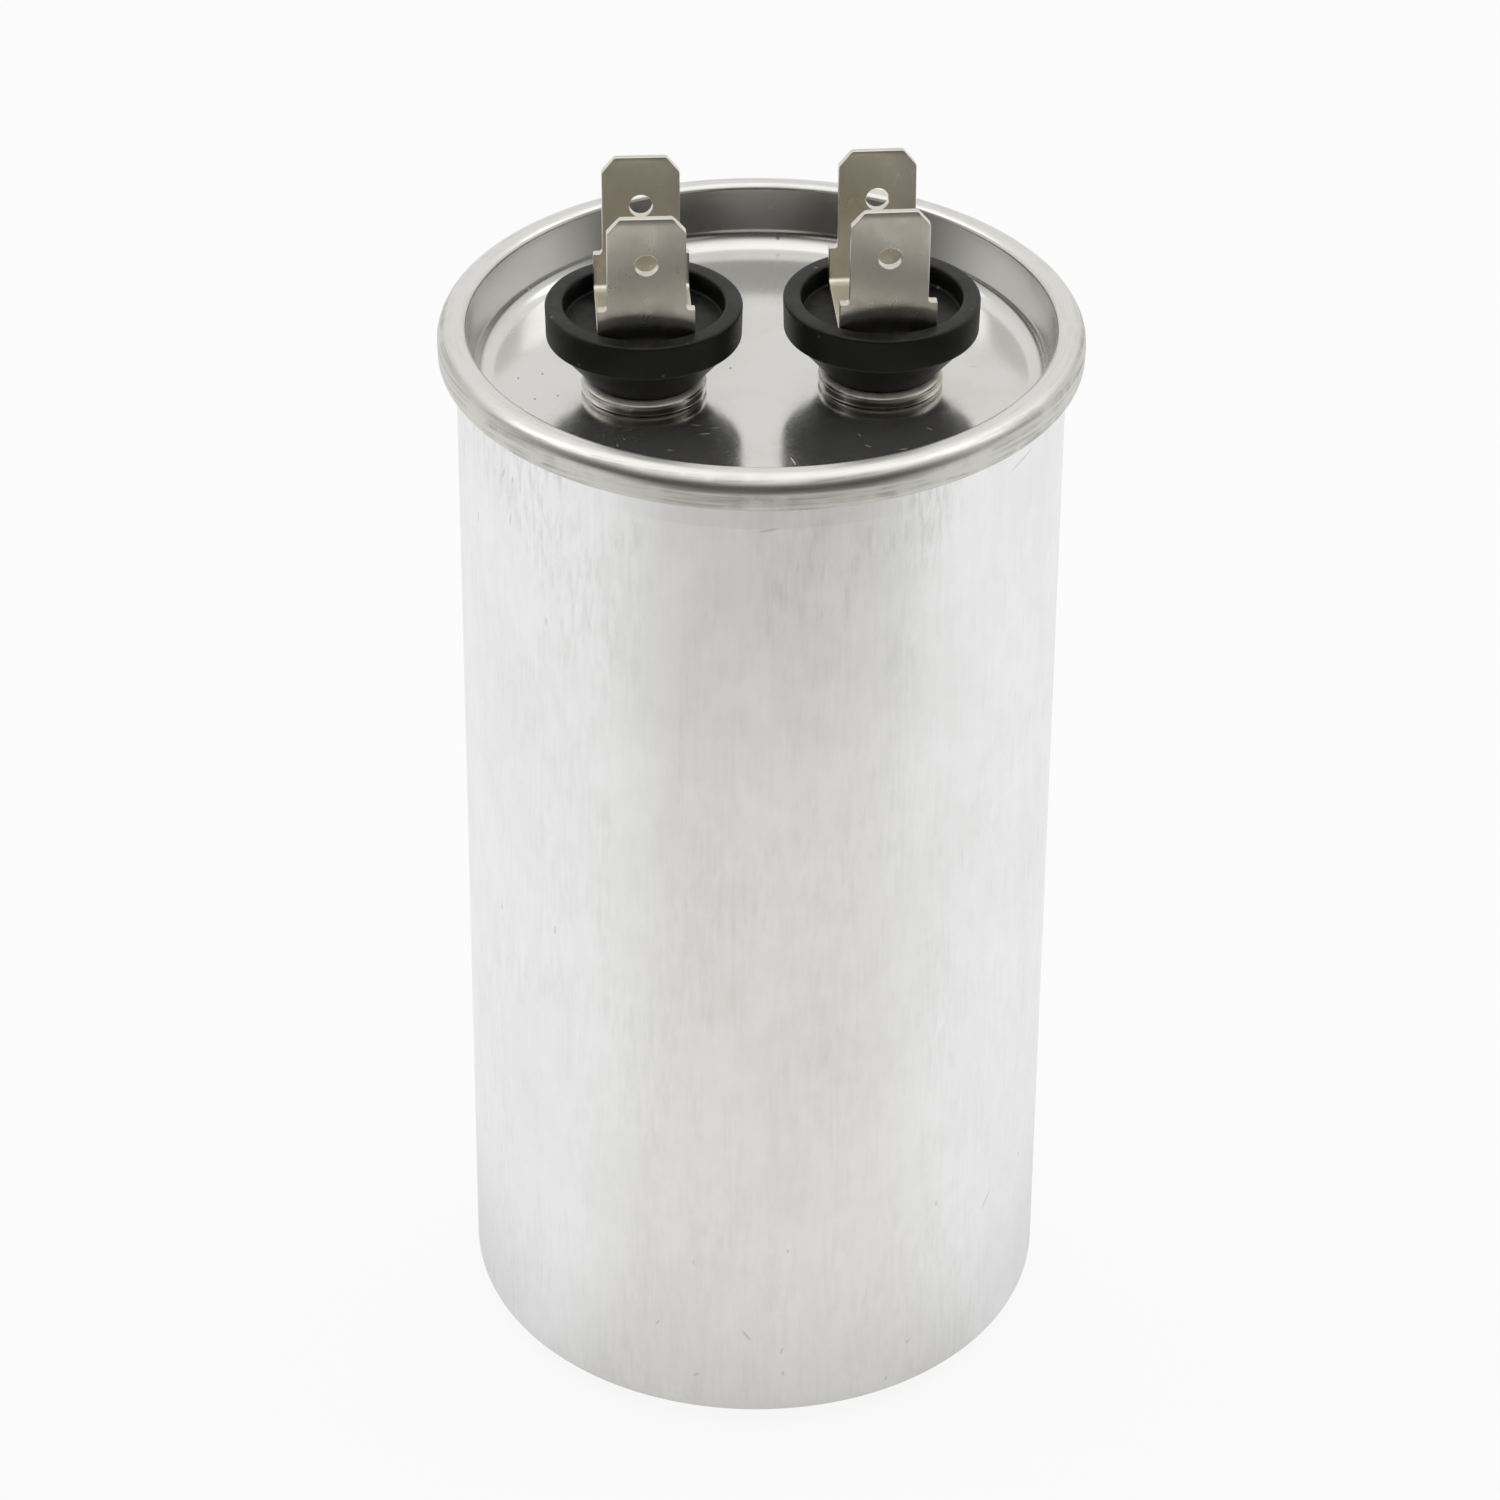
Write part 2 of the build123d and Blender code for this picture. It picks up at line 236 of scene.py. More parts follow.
def tile(loops: Sequence[Sequence[Vector]], chords: Sequence[tuple[int, int]]) -> list[list[int]]:
    """Triangles that fill the first loop and leave the other loops open.

    Args:
        loops: The outline, then round holes.
        chords: Pairs of points of the outline that a line of edges has to join.

    Returns:
        Triangles as indices into the points of all the loops, one loop after the other.
    """
    points, edges = [], []
    for loop in loops:
        first = len(points)
        points += [point / MM for point in loop]
        edges += [(first + i, first + (i + 1) % len(loop)) for i in range(len(loop))]
    edges += list(chords)
    _, _, faces, sources, _, _ = delaunay_2d_cdt(points, edges, [], 1, FILL_TOLERANCE)
    holes = []
    for loop in loops[1:]:
        centre = sum(loop, Vector((0.0, 0.0))) / len(loop)
        holes.append((centre / MM, (loop[0] - centre).length / MM))
    kept = []
    for face in faces:
        corners = [sources[i][0] for i in face]
        middle = sum((points[i] for i in corners), Vector((0.0, 0.0))) / len(corners)
        if all((middle - centre).length > radius * HOLE_SHARE for centre, radius in holes):
            kept.append(corners)
    return kept


def finished_mesh(name: str, shape: bmesh.types.BMesh, sharp_deg: float) -> bpy.types.Object:
    """Turns a shape into an object with smooth faces, sharp edges and weighted normals.

    Args:
        name: Name of the piece.
        shape: The closed shape, which is freed.
        sharp_deg: Edges that turn by more than this stay sharp.

    Returns:
        The new object, linked to the scene.
    """
    bmesh.ops.recalc_face_normals(shape, faces=shape.faces[:])
    mesh = bpy.data.meshes.new(name)
    shape.to_mesh(mesh)
    shape.free()
    mesh.shade_smooth()
    mesh.set_sharp_from_angle(angle=math.radians(sharp_deg))
    piece = bpy.data.objects.new(name, mesh)
    bpy.context.scene.collection.objects.link(piece)
    weighted = piece.modifiers.new("weighted_normals", "WEIGHTED_NORMAL")
    weighted.keep_sharp = True
    return piece


def bridge(shape: bmesh.types.BMesh, low: Sequence[Corner], high: Sequence[Corner]) -> None:
    """Joins two closed rings of corners by faces.

    Args:
        shape: The shape that takes the faces.
        low: The first ring, which may be one point throughout.
        high: The second ring, with as many corners.
    """
    for i in range(len(low)):
        j = (i + 1) % len(low)
        corners = list(dict.fromkeys((low[i], low[j], high[j], high[i])))
        if len(corners) > 2:
            shape.faces.new(corners)


def spin(shape: bmesh.types.BMesh, outline: Sequence[Vector], turns: int, centre: Point, open_gap: bool,
         ripple: Ripple | None = None) -> list[list[Corner]]:
    """Adds a section turned about the vertical line through a point.

    Args:
        shape: The shape that takes the faces.
        outline: Closed section, as radius and height.
        turns: Divisions round the circle.
        centre: Place of the axis.
        open_gap: Leaves out the strip between the section's last and first points.
        ripple: Change of radius by radius, height and angle, or none.

    Returns:
        The ring of corners that each point of the section became.
    """
    rings = []
    for radius, height in outline:
        if radius < SAME:
            rings.append([shape.verts.new((*centre, height))] * turns)
            continue
        ring = []
        for i in range(turns):
            angle = math.tau * i / turns
            reach = radius + (ripple(radius, height, angle) if ripple else 0.0)
            place = (centre[0] + reach * math.cos(angle), centre[1] + reach * math.sin(angle), height)
            ring.append(shape.verts.new(place))
        rings.append(ring)
    for low, high in zip(rings, rings[1:]):
        bridge(shape, low, high)
    if not open_gap:
        bridge(shape, rings[-1], rings[0])
    return rings


def turned(name: str, outline: Sequence[Vector], turns: int, centre: Point = (0.0, 0.0),
           sharp_deg: float = 32.0, ripple: Ripple | None = None) -> bpy.types.Object:
    """A whole turned piece.

    Args:
        name: Name of the piece.
        outline: Closed section, as radius and height.
        turns: Divisions round the circle.
        centre: Place of the axis.
        sharp_deg: Edges that turn by more than this stay sharp.
        ripple: Change of radius by radius, height and angle, or none.

    Returns:
        The new object.
    """
    shape = bmesh.new()
    spin(shape, outline, turns, centre, open_gap=False, ripple=ripple)
    return finished_mesh(name, shape, sharp_deg)


def seat(piece: bpy.types.Object, material: bpy.types.Material, slot: Slot, *nodes: str) -> None:
    """Dresses a piece and ties it to the part.

    Args:
        piece: The piece.
        material: Its finish.
        slot: Its material slot of the record; not used.
        nodes: The nodes that it stands for.
    """
    piece.data.materials.append(material)
    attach(piece, ROOT)
    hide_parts(*nodes)
    log.info("built %s, %d corners", piece.name, len(piece.data.vertices))


# Finishes


@dataclass(frozen=True)
class Grain:
    """A cloudy pattern.

    Args:
        stretch: Features for each metre along X, Y and Z.
        detail: Number of finer layers.
        rough: Strength of the finer layers.
        shift: Offset that sets this pattern apart from others.
        band: Where the pattern's share starts and where it is full, on a scale that averages 0.5.
    """

    stretch: tuple[float, float, float]
    detail: float = 3.0
    rough: float = 0.55
    shift: float = 0.0
    band: Point = (0.0, 1.0)


@dataclass(frozen=True)
class Scatter:
    """Scattered small marks.

    Args:
        stretch: Cells for each metre along X, Y and Z.
        size: Radius of a mark, in cells.
        share: Share of the cells that have a mark.
        shift: Offset that sets these marks apart from others.
    """

    stretch: tuple[float, float, float]
    size: float
    share: float
    shift: float = 0.0


class Graph:
    """A node graph that is written as short calls."""

    def __init__(self, tree: bpy.types.NodeTree, coordinate: str) -> None:
        """Wraps a node tree.

        Args:
            tree: The tree that takes the nodes.
            coordinate: Name of the texture coordinate that the patterns read.
        """
        self.tree = tree
        self.place = self.node("ShaderNodeTexCoord").outputs[coordinate]

    def node(self, kind: str, **settings: object) -> bpy.types.Node:
        """Adds a node.

        Args:
            kind: Type of the node.
            settings: Its settings by name.

        Returns:
            The new node.
        """
        made = self.tree.nodes.new(kind)
        for name, value in settings.items():
            setattr(made, name, value)
        return made

    def feed(self, socket: Socket, value: object) -> None:
        """Links a socket to another one, or writes a plain value on it.

        Args:
            socket: The socket that takes the value.
            value: Another socket, a number, a vector or a colour.
        """
        if isinstance(value, Socket):
            self.tree.links.new(value, socket)
        elif isinstance(value, tuple) and len(value) == 3 and socket.type == "RGBA":
            socket.default_value = (*value, 1.0)
        else:
            socket.default_value = value

    def fill(self, node: bpy.types.Node, **values: object) -> bpy.types.Node:
        """Feeds a node's inputs by name.

        Args:
            node: The node.
            values: What its inputs take, with underscores for spaces in their names.

        Returns:
            The same node.
        """
        for name, value in values.items():
            self.feed(node.inputs[name.replace("_", " ")], value)
        return node

    def step(self, kind: str, *values: object, result: int = 0, **settings: object) -> Socket:
        """Adds a node and feeds its first inputs.

        Args:
            kind: Type of the node.
            values: What its inputs take, in order.
            result: Which of its outputs is wanted.
            settings: Its settings by name.

        Returns:
            The wanted output.
        """
        made = self.node(kind, **settings)
        for socket, value in zip(made.inputs, values):
            self.feed(socket, value)
        return made.outputs[result]

    def math(self, operation: str, *values: object) -> Socket:
        """One arithmetic step on numbers."""
        return self.step("ShaderNodeMath", *values, operation=operation)

    def product(self, first: object, *others: object) -> Socket:
        """Multiplies numbers in order."""
        return reduce(lambda total, other: self.math("MULTIPLY", total, other), others, first)

    def plus(self, base: object, value: object, weight: float) -> Socket:
        """Adds a weighted number to a base."""
        return self.math("MULTIPLY_ADD", value, weight, base)

    def highest(self, first: object, *others: object) -> Socket:
        """The highest of some numbers."""
        return reduce(lambda top, other: self.math("MAXIMUM", top, other), others, first)

    def vector(self, operation: str, *values: object, result: int = 0) -> Socket:
        """One arithmetic step on vectors."""
        return self.step("ShaderNodeVectorMath", *values, result=result, operation=operation)

    def length(self, vector: object) -> Socket:
        """Length of a vector."""
        return self.vector("LENGTH", vector, result=1)

    def along(self, vector: object, axis: Sequence[float]) -> Socket:
        """How far a vector reaches along an axis."""
        return self.vector("DOT_PRODUCT", vector, tuple(axis), result=1)

    def parts(self, vector: object) -> Sequence[Socket]:
        """Splits a vector into X, Y and Z."""
        return self.fill(self.node("ShaderNodeSeparateXYZ"), Vector=vector).outputs

    def join(self, x: object, y: object, z: object) -> Socket:
        """Joins X, Y and Z into a vector."""
        return self.step("ShaderNodeCombineXYZ", x, y, z)

    def span(self, value: object, low: float, high: float, start: object = 0.0, end: object = 1.0) -> Socket:
        """Maps a range of values smoothly onto another and holds it at both ends."""
        return self.step("ShaderNodeMapRange", value, low, high, start, end, interpolation_type="SMOOTHSTEP")

    def spot(self, pattern: Grain | Scatter, place: object) -> Socket:
        """Coordinate at which a pattern is read."""
        return self.vector("MULTIPLY_ADD", place or self.place, pattern.stretch, (pattern.shift,) * 3)

    def noise(self, grain: Grain, place: object = None) -> Socket:
        """The raw noise of a cloudy pattern.

        Args:
            grain: The pattern.
            place: Coordinate to read, or none for the graph's own.

        Returns:
            The noise, about 0.5 on average.
        """
        made = self.fill(self.node("ShaderNodeTexNoise"), Vector=self.spot(grain, place), Scale=1.0,
                         Detail=grain.detail, Roughness=grain.rough)
        return made.outputs[0]

    def share(self, grain: Grain, start: float = 0.0) -> Socket:
        """Share of a cloudy pattern, from a least value to one."""
        return self.span(self.noise(grain), *grain.band, start)

    def specks(self, scatter: Scatter) -> Socket:
        """Scattered marks.

        Args:
            scatter: Their pattern.

        Returns:
            One on each mark and zero elsewhere, with soft edges.
        """
        cells = self.fill(self.node("ShaderNodeTexVoronoi"), Vector=self.spot(scatter, None), Scale=1.0)
        near = self.span(cells.outputs["Distance"], scatter.size, scatter.size * MARK_CORE)
        least = 1 - scatter.share
        chosen = self.span(self.parts(cells.outputs["Color"])[0], least, least + CELL_EDGE)
        return self.product(near, chosen)

    def blend(self, share: object, first: object, second: object) -> Socket:
        """Mixes two colours.

        Args:
            share: Share of the second colour.
            first: The first colour.
            second: The second colour.

        Returns:
            The mixed colour.
        """
        made = self.node("ShaderNodeMix", data_type="RGBA")
        for socket, value in ((made.inputs[0], share), (made.inputs[6], first), (made.inputs[7], second)):
            self.feed(socket, value)
        return made.outputs[2]

    def merge(self, share: object, first: Socket, second: Socket) -> Socket:
        """Mixes two shaders by the share of the second."""
        return self.step("ShaderNodeMixShader", share, first, second)

    def glow(self, kind: str, colour: object, strength: object = 1.0) -> Socket:
        """A glowing shader of one kind."""
        return self.step(kind, colour, strength)

    def rays(self, *kinds: str) -> Socket:
        """One on the named kinds of ray and zero on the others."""
        path = self.node("ShaderNodeLightPath")
        return self.highest(*(path.outputs[kind] for kind in kinds))


class Recipe(Graph):
    """A material written as short calls around one surface shader."""

    def __init__(self, name: str) -> None:
        """Starts an empty material.

        Args:
            name: Name of the material.
        """
        self.material = bpy.data.materials.new(name)
        self.material.use_nodes = True
        super().__init__(self.material.node_tree, "Object")
        self.shader = self.tree.nodes["Principled BSDF"]

    def facing(self) -> Sequence[Socket]:
        """Direction that the surface faces, as X, Y and Z."""
        return self.parts(self.node("ShaderNodeNewGeometry").outputs["Normal"])

    def bump(self, height: object, depth: float, under: object = None) -> Socket:
        """Surface relief.

        Args:
            height: Height of the relief, from zero to one.
            depth: What one unit of height measures, in metres.
            under: Normal of a relief below this one, or none.

        Returns:
            The bent normal.
        """
        made = self.fill(self.node("ShaderNodeBump"), Strength=1.0, Distance=depth, Height=height)
        if under is not None:
            self.feed(made.inputs["Normal"], under)
        return made.outputs[0]

    def scratch(self, middle: Vector, outward: Vector, turn_deg: float,
                length: float, width: float) -> Socket:
        """One short straight mark on a surface.

        Args:
            middle: Place of the mark.
            outward: Normal of the surface there.
            turn_deg: Turn of the mark about the normal, from upright on a wall or from +Y on a level face.
            length: Half its length.
            width: Half its width.

        Returns:
            One on the mark and zero elsewhere, with soft edges.
        """
        upright = -FRONT if outward == UP else UP
        lengthwise = Matrix.Rotation(math.radians(turn_deg), 3, outward) @ upright
        from_middle = self.vector("SUBTRACT", self.place, tuple(middle))
        reaches = [(lengthwise, length), (outward.cross(lengthwise), width), (outward, MARK_REACH)]
        shares = [self.along(from_middle, axis / reach) for axis, reach in reaches]
        return self.span(self.length(self.join(*shares)), 1.0, SCRATCH_CORE)

    def surface(self, **sockets: object) -> bpy.types.Material:
        """Feeds the shader's inputs by name and returns the material."""
        self.fill(self.shader, **sockets)
        return self.material


@dataclass(frozen=True)
class DrawnAluminium:
    """Satin aluminium with a broken upright grain, smudges that gather under the seam and small knocks."""

    bright: Colour = (0.925, 0.925, 0.92)
    dull: Colour = (0.83, 0.827, 0.81)
    smudged: Colour = (0.70, 0.70, 0.68)
    marked: Colour = (0.42, 0.41, 0.39)
    lines: Grain = Grain((2700, 2700, 190), 5, 0.6, band=(0.34, 0.72))
    bands: Grain = Grain((330, 330, 42), 4, 0.6, 3.1, (0.3, 0.66))
    clouds: Grain = Grain((80, 80, 52), 6, 0.62, 7.7, (0.40, 0.68))
    mottle: Grain = Grain((620, 620, 380), 4, 0.6, 4.9, (0.36, 0.7))
    smudges: Grain = Grain((2100, 2100, 380), 4, 0.62, 6.2, (0.42, 0.68))
    groups: Grain = Grain((125, 125, 75), 3, shift=2.6, band=(0.44, 0.6))
    dents: Grain = Grain((38, 38, 16), 2, shift=9.4)
    nicks: Scatter = Scatter((520, 520, 240), 0.1, 0.03, 1.7)
    hairs: Scatter = Scatter((1600, 1600, 150), 0.15, 0.035, 5.3)
    line_share: float = 0.42
    least_band: float = 0.25
    cloud_share: float = 0.32
    mottle_share: float = 0.22
    smudge_share: float = 0.62
    least_smudge: float = 0.35
    smudge_heights: Point = (70 * MM, 91 * MM)
    nick_share: float = 0.8
    hair_share: float = 0.5
    mark_share: float = 0.38
    roughness: float = 0.32
    worn_roughness: float = 0.1
    line_depth: float = 0.0015 * MM
    dent_depth: float = 0.05 * MM
    wall: float = 25 * MM
    knock_width: float = 0.16 * MM
    knocks: tuple[tuple[float, float, float, float], ...] = (
        (63, 17.8, 0.35, 0), (-47, 47.5, 0.6, 5), (-3, 90.1, 1.1, 80), (-24, 10, 0.4, 30),
        (-16, 5, 0.5, 60), (1, 8, 0.4, 20), (23, 2.8, 0.3, 0), (28, 6.1, 0.4, 45), (49, 16.8, 1.2, 40),
        (2, 18.8, 0.3, 0), (-6, 9.7, 0.9, -35), (-60, 88.9, 0.8, 25), (-57, 88.9, 0.5, 15),
        (-71, 82.4, 0.7, 0), (-58, 85, 0.9, 10), (52, 90.2, 2.2, 78), (-48, 77.5, 0.5, 5),
    )

    def marks(self, mix: Recipe) -> Socket:
        """Nicks, hairlines and knocks, each knock by azimuth, height, half length and tilt.

        Args:
            mix: The material's graph.

        Returns:
            The share of the marked colour.
        """
        marks = mix.highest(mix.product(mix.specks(self.nicks), self.nick_share),
                            mix.product(mix.specks(self.hairs), self.hair_share))
        for azimuth, rise, length, tilt in self.knocks:
            turn = math.radians(azimuth)
            outward = Vector((math.sin(turn), -math.cos(turn), 0.0))
            middle = outward * self.wall + UP * rise * MM
            marks = mix.highest(marks, mix.scratch(middle, outward, -tilt, length * MM, self.knock_width))
        return marks

    def material(self) -> bpy.types.Material:
        """Builds the material.

        Returns:
            The material.
        """
        mix = Recipe("drawn_aluminium")
        lines = mix.noise(self.lines)
        streak = mix.product(mix.span(lines, *self.lines.band), mix.share(self.bands, self.least_band))
        tone = mix.plus(mix.product(streak, self.line_share), mix.share(self.clouds), self.cloud_share)
        tone = mix.plus(tone, mix.share(self.mottle), self.mottle_share)
        colour = mix.blend(tone, self.bright, self.dull)
        high = mix.span(mix.parts(mix.place)[2], *self.smudge_heights, self.least_smudge)
        smudge = mix.product(high, mix.share(self.smudges), mix.share(self.groups), self.smudge_share)
        colour = mix.blend(smudge, colour, self.smudged)
        colour = mix.blend(mix.product(self.marks(mix), self.mark_share), colour, self.marked)
        rough = mix.plus(self.roughness, tone, self.worn_roughness)
        swell = mix.bump(mix.noise(self.dents), self.dent_depth)
        relief = mix.bump(lines, self.line_depth, swell)
        return mix.surface(Base_Color=colour, Metallic=1.0, Roughness=rough, Normal=relief)


@dataclass(frozen=True)
class TinnedLid:
    """Bright rolled sheet: near mirror on the panel, with painted shade in front of each eyelet, painted
    darker on the recess wall, and rubbed along the seam.
    """

    panel_edge: float
    seam_bore: float
    level: float
    bushing: Point
    bright: Colour = (0.80, 0.795, 0.775)
    warm: Colour = (0.66, 0.645, 0.60)
    # The recess wall's colour, darker than the panel of the same sheet: painted shade.
    wall: Colour = (0.66, 0.655, 0.63)
    edge: Colour = (0.64, 0.625, 0.585)
    rubbed: Colour = (0.42, 0.40, 0.365)
    # Colour of the painted shade in front of each eyelet.
    eyelet_shade: Colour = (0.14, 0.13, 0.115)
    dust: Colour = (0.12, 0.115, 0.11)
    bend_rise: Point = (1.2 * MM, 2.2 * MM)
    seam_start: Point = (-0.25 * MM, 0.35 * MM)
    seam_face: Point = (1.55 * MM, 2.15 * MM)
    roll_width: float = 2600
    roll_length: float = 120
    rolled: Grain = Grain((1, 1, 1), 4, 0.6, band=(0.4, 0.66))
    patches: Grain = Grain((330, 330, 330), 4, 0.6, 2.2, (0.36, 0.6))
    haze: Grain = Grain((120, 120, 120), 5, 0.6, 4.6, (0.4, 0.7))
    hazy_gloss: Point = (0.35, 0.7)
    grit: Grain = Grain((5200, 5200, 5200), 2, shift=3.7, band=(0.5, 0.72))
    swells: Grain = Grain((70, 70, 70), 1, shift=1.3)
    bits: Scatter = Scatter((900, 900, 900), 0.22, 0.018, 6.1)
    hairs: Scatter = Scatter((420, 3400, 400), 0.2, 0.03, 8.8)
    haze_share: float = 0.3
    band_share: float = 0.6
    edge_share: float = 0.8
    dust_share: float = 0.75
    # Share, reach and facing of the painted shade in front of each eyelet.
    eyelet_shade_share: float = 0.6
    eyelet_shade_reach: Point = (7.6 * MM, 6.2 * MM)
    eyelet_shade_ahead: Point = (0.4, 0.85)
    metallic: float = 0.94
    panel_roughness: float = 0.13
    wall_roughness: float = 0.15
    seam_roughness: float = 0.3
    scuff_roughness: float = 0.16
    haze_roughness: float = 0.05
    hair_roughness: float = 0.35
    grit_roughness: float = 0.1
    swell_depth: float = 0.035 * MM
    scuff_depth: float = 0.012 * MM
    scratch_width: float = 0.09 * MM
    speck_size: Point = (0.17 * MM, 0.13 * MM)
    scratches: tuple[tuple[float, float, float, float], ...] = (
        (-5.9, -7.6, 0.6, 85), (-5.3, -9.1, 0.65, 95), (-8.2, -11.6, 0.35, 70), (-11.8, -9.5, 0.3, 20),
        (-12.4, -10.5, 0.25, 0), (7.2, -10.1, 0.3, 30), (7.7, -11.9, 0.4, 60), (-14.1, -12.4, 0.5, 60),
        (10.5, -12.6, 0.5, 100), (12.9, -9.4, 0.4, 50), (1.5, -14.0, 0.8, 15), (-9.0, -14.8, 0.5, 75),
    )
    specks: tuple[Point, ...] = (
        (-17.9, 1.8), (-19.9, 1.2), (-18.7, -2.4), (-16.8, -2.0), (-2.4, 1.8), (12.6, 6.1),
    )

    def on_panel(self, x: float, y: float) -> Vector:
        """A place on the panel, from millimetres."""
        return Vector((x * MM, y * MM, self.level))

    def shade_before_eyelet(self, mix: Recipe, spot: Sequence[Socket]) -> Socket:
        """Painted shade on the panel in front of each eyelet.

        Args:
            mix: The material's graph.
            spot: Place on the surface, as X, Y and Z.

        Returns:
            The share of painted shade.
        """
        from_axis = mix.join(mix.math("ABSOLUTE", spot[0]), spot[1], 0.0)
        from_bushing = mix.vector("SUBTRACT", from_axis, (*self.bushing, 0.0))
        near = mix.span(mix.length(from_bushing), *self.eyelet_shade_reach)
        ahead = mix.along(mix.vector("NORMALIZE", from_bushing), FRONT)
        return mix.product(near, mix.span(ahead, *self.eyelet_shade_ahead), self.eyelet_shade_share)

    def dusted(self, mix: Recipe) -> Socket:
        """Dust, scattered and in single specks.

        Args:
            mix: The material's graph.

        Returns:
            The share of dust.
        """
        dust = mix.specks(self.bits)
        for x, y in self.specks:
            dust = mix.highest(dust, mix.scratch(self.on_panel(x, y), UP, 0.0, *self.speck_size))
        return mix.product(dust, self.dust_share)

    def scratched(self, mix: Recipe) -> Socket:
        """Hairlines, and scratches by place, half length and turn.

        Args:
            mix: The material's graph.

        Returns:
            The share of scratched metal.
        """
        hair = mix.specks(self.hairs)
        for x, y, length, turn in self.scratches:
            line = mix.scratch(self.on_panel(x, y), UP, turn, length * MM, self.scratch_width)
            hair = mix.highest(hair, line)
        return hair

    def material(self) -> bpy.types.Material:
        """Builds the material.

        Returns:
            The material.
        """
        mix = Recipe("tinned_lid")
        spot = mix.parts(mix.place)
        flat = mix.join(spot[0], spot[1], 0.0)
        radius = mix.length(flat)
        across = mix.join(mix.product(radius, self.roll_width), mix.product(spot[2], self.roll_width), 0.0)
        around = mix.vector("MULTIPLY_ADD", flat, (self.roll_length, self.roll_length, 0), across)
        seam = mix.span(radius, *(self.seam_bore + reach for reach in self.seam_start))
        outside = mix.span(radius, *(self.seam_bore + reach for reach in self.seam_face))
        rise = mix.span(radius, *(self.panel_edge + reach for reach in self.bend_rise))
        rolled = mix.noise(self.rolled, around)
        scuffs = mix.product(mix.span(rolled, *self.rolled.band), mix.share(self.patches))
        haze = mix.noise(self.haze)

        hazy = mix.product(mix.span(haze, *self.haze.band), self.haze_share)
        # Painted shade: the panel in front of each eyelet is painted near black.
        panel = mix.blend(self.shade_before_eyelet(mix, spot), mix.blend(hazy, self.bright, self.warm), self.eyelet_shade)
        # Painted shade: the recess wall past the panel's bend takes the darker wall colour.
        inner = mix.blend(rise, panel, self.wall)
        band = mix.blend(mix.product(scuffs, self.band_share), self.bright, self.warm)
        edge = mix.blend(mix.product(scuffs, self.edge_share), self.edge, self.rubbed)
        colour = mix.blend(seam, inner, mix.blend(outside, band, edge))
        colour = mix.blend(self.dusted(mix), colour, self.dust)

        bend = (self.panel_edge, self.panel_edge + self.bend_rise[0])
        gloss = mix.span(radius, *bend, self.panel_roughness, self.wall_roughness)
        gloss = mix.plus(gloss, mix.span(haze, *self.hazy_gloss), self.haze_roughness)
        gloss = mix.plus(gloss, self.scratched(mix), self.hair_roughness)
        grit = mix.product(mix.share(self.grit), mix.math("SUBTRACT", 1.0, rise))
        gloss = mix.plus(gloss, grit, self.grit_roughness)
        satin = mix.plus(self.seam_roughness, scuffs, self.scuff_roughness)
        rough = mix.math("ADD", mix.product(seam, mix.math("SUBTRACT", satin, gloss)), gloss)

        swell = mix.bump(mix.noise(self.swells), self.swell_depth)
        relief = mix.bump(mix.product(rolled, seam), self.scuff_depth, swell)
        metal = mix.highest(rise, self.metallic)
        return mix.surface(Base_Color=colour, Metallic=metal, Roughness=rough, Normal=relief)


@dataclass(frozen=True)
class MouldedBlack:
    """Black moulded plastic, matte and dusty, with a fine grain."""

    body: Colour = (0.003, 0.003, 0.003)
    dust: Colour = (0.16, 0.155, 0.145)
    film: Grain = Grain((420, 420, 420), 5, 0.65, band=(0.35, 0.75))
    bits: Scatter = Scatter((1500, 1500, 1500), 0.3, 0.05, 2.9)
    grain: Grain = Grain((3200, 3200, 3200), 2)
    level: Point = (0.35, 0.95)
    film_share: float = 0.17
    bits_level: Point = (-0.4, 0.9)
    bits_share: Point = (0.25, 0.8)
    roughness: float = 0.35
    film_roughness: float = 0.2
    specular: float = 0.3
    grain_depth: float = 0.012 * MM

    def material(self) -> bpy.types.Material:
        """Builds the material.

        Returns:
            The material.
        """
        mix = Recipe("moulded_black")
        up = mix.facing()[2]
        film = mix.noise(self.film)
        settled = mix.product(mix.span(up, *self.level), mix.span(film, *self.film.band), self.film_share)
        colour = mix.blend(settled, self.body, self.dust)
        bits = mix.product(mix.specks(self.bits), mix.span(up, *self.bits_level, *self.bits_share))
        colour = mix.blend(bits, colour, self.dust)
        rough = mix.plus(self.roughness, film, self.film_roughness)
        return mix.surface(Base_Color=colour, Roughness=rough, Specular_IOR_Level=self.specular,
                           Normal=mix.bump(mix.noise(self.grain), self.grain_depth))


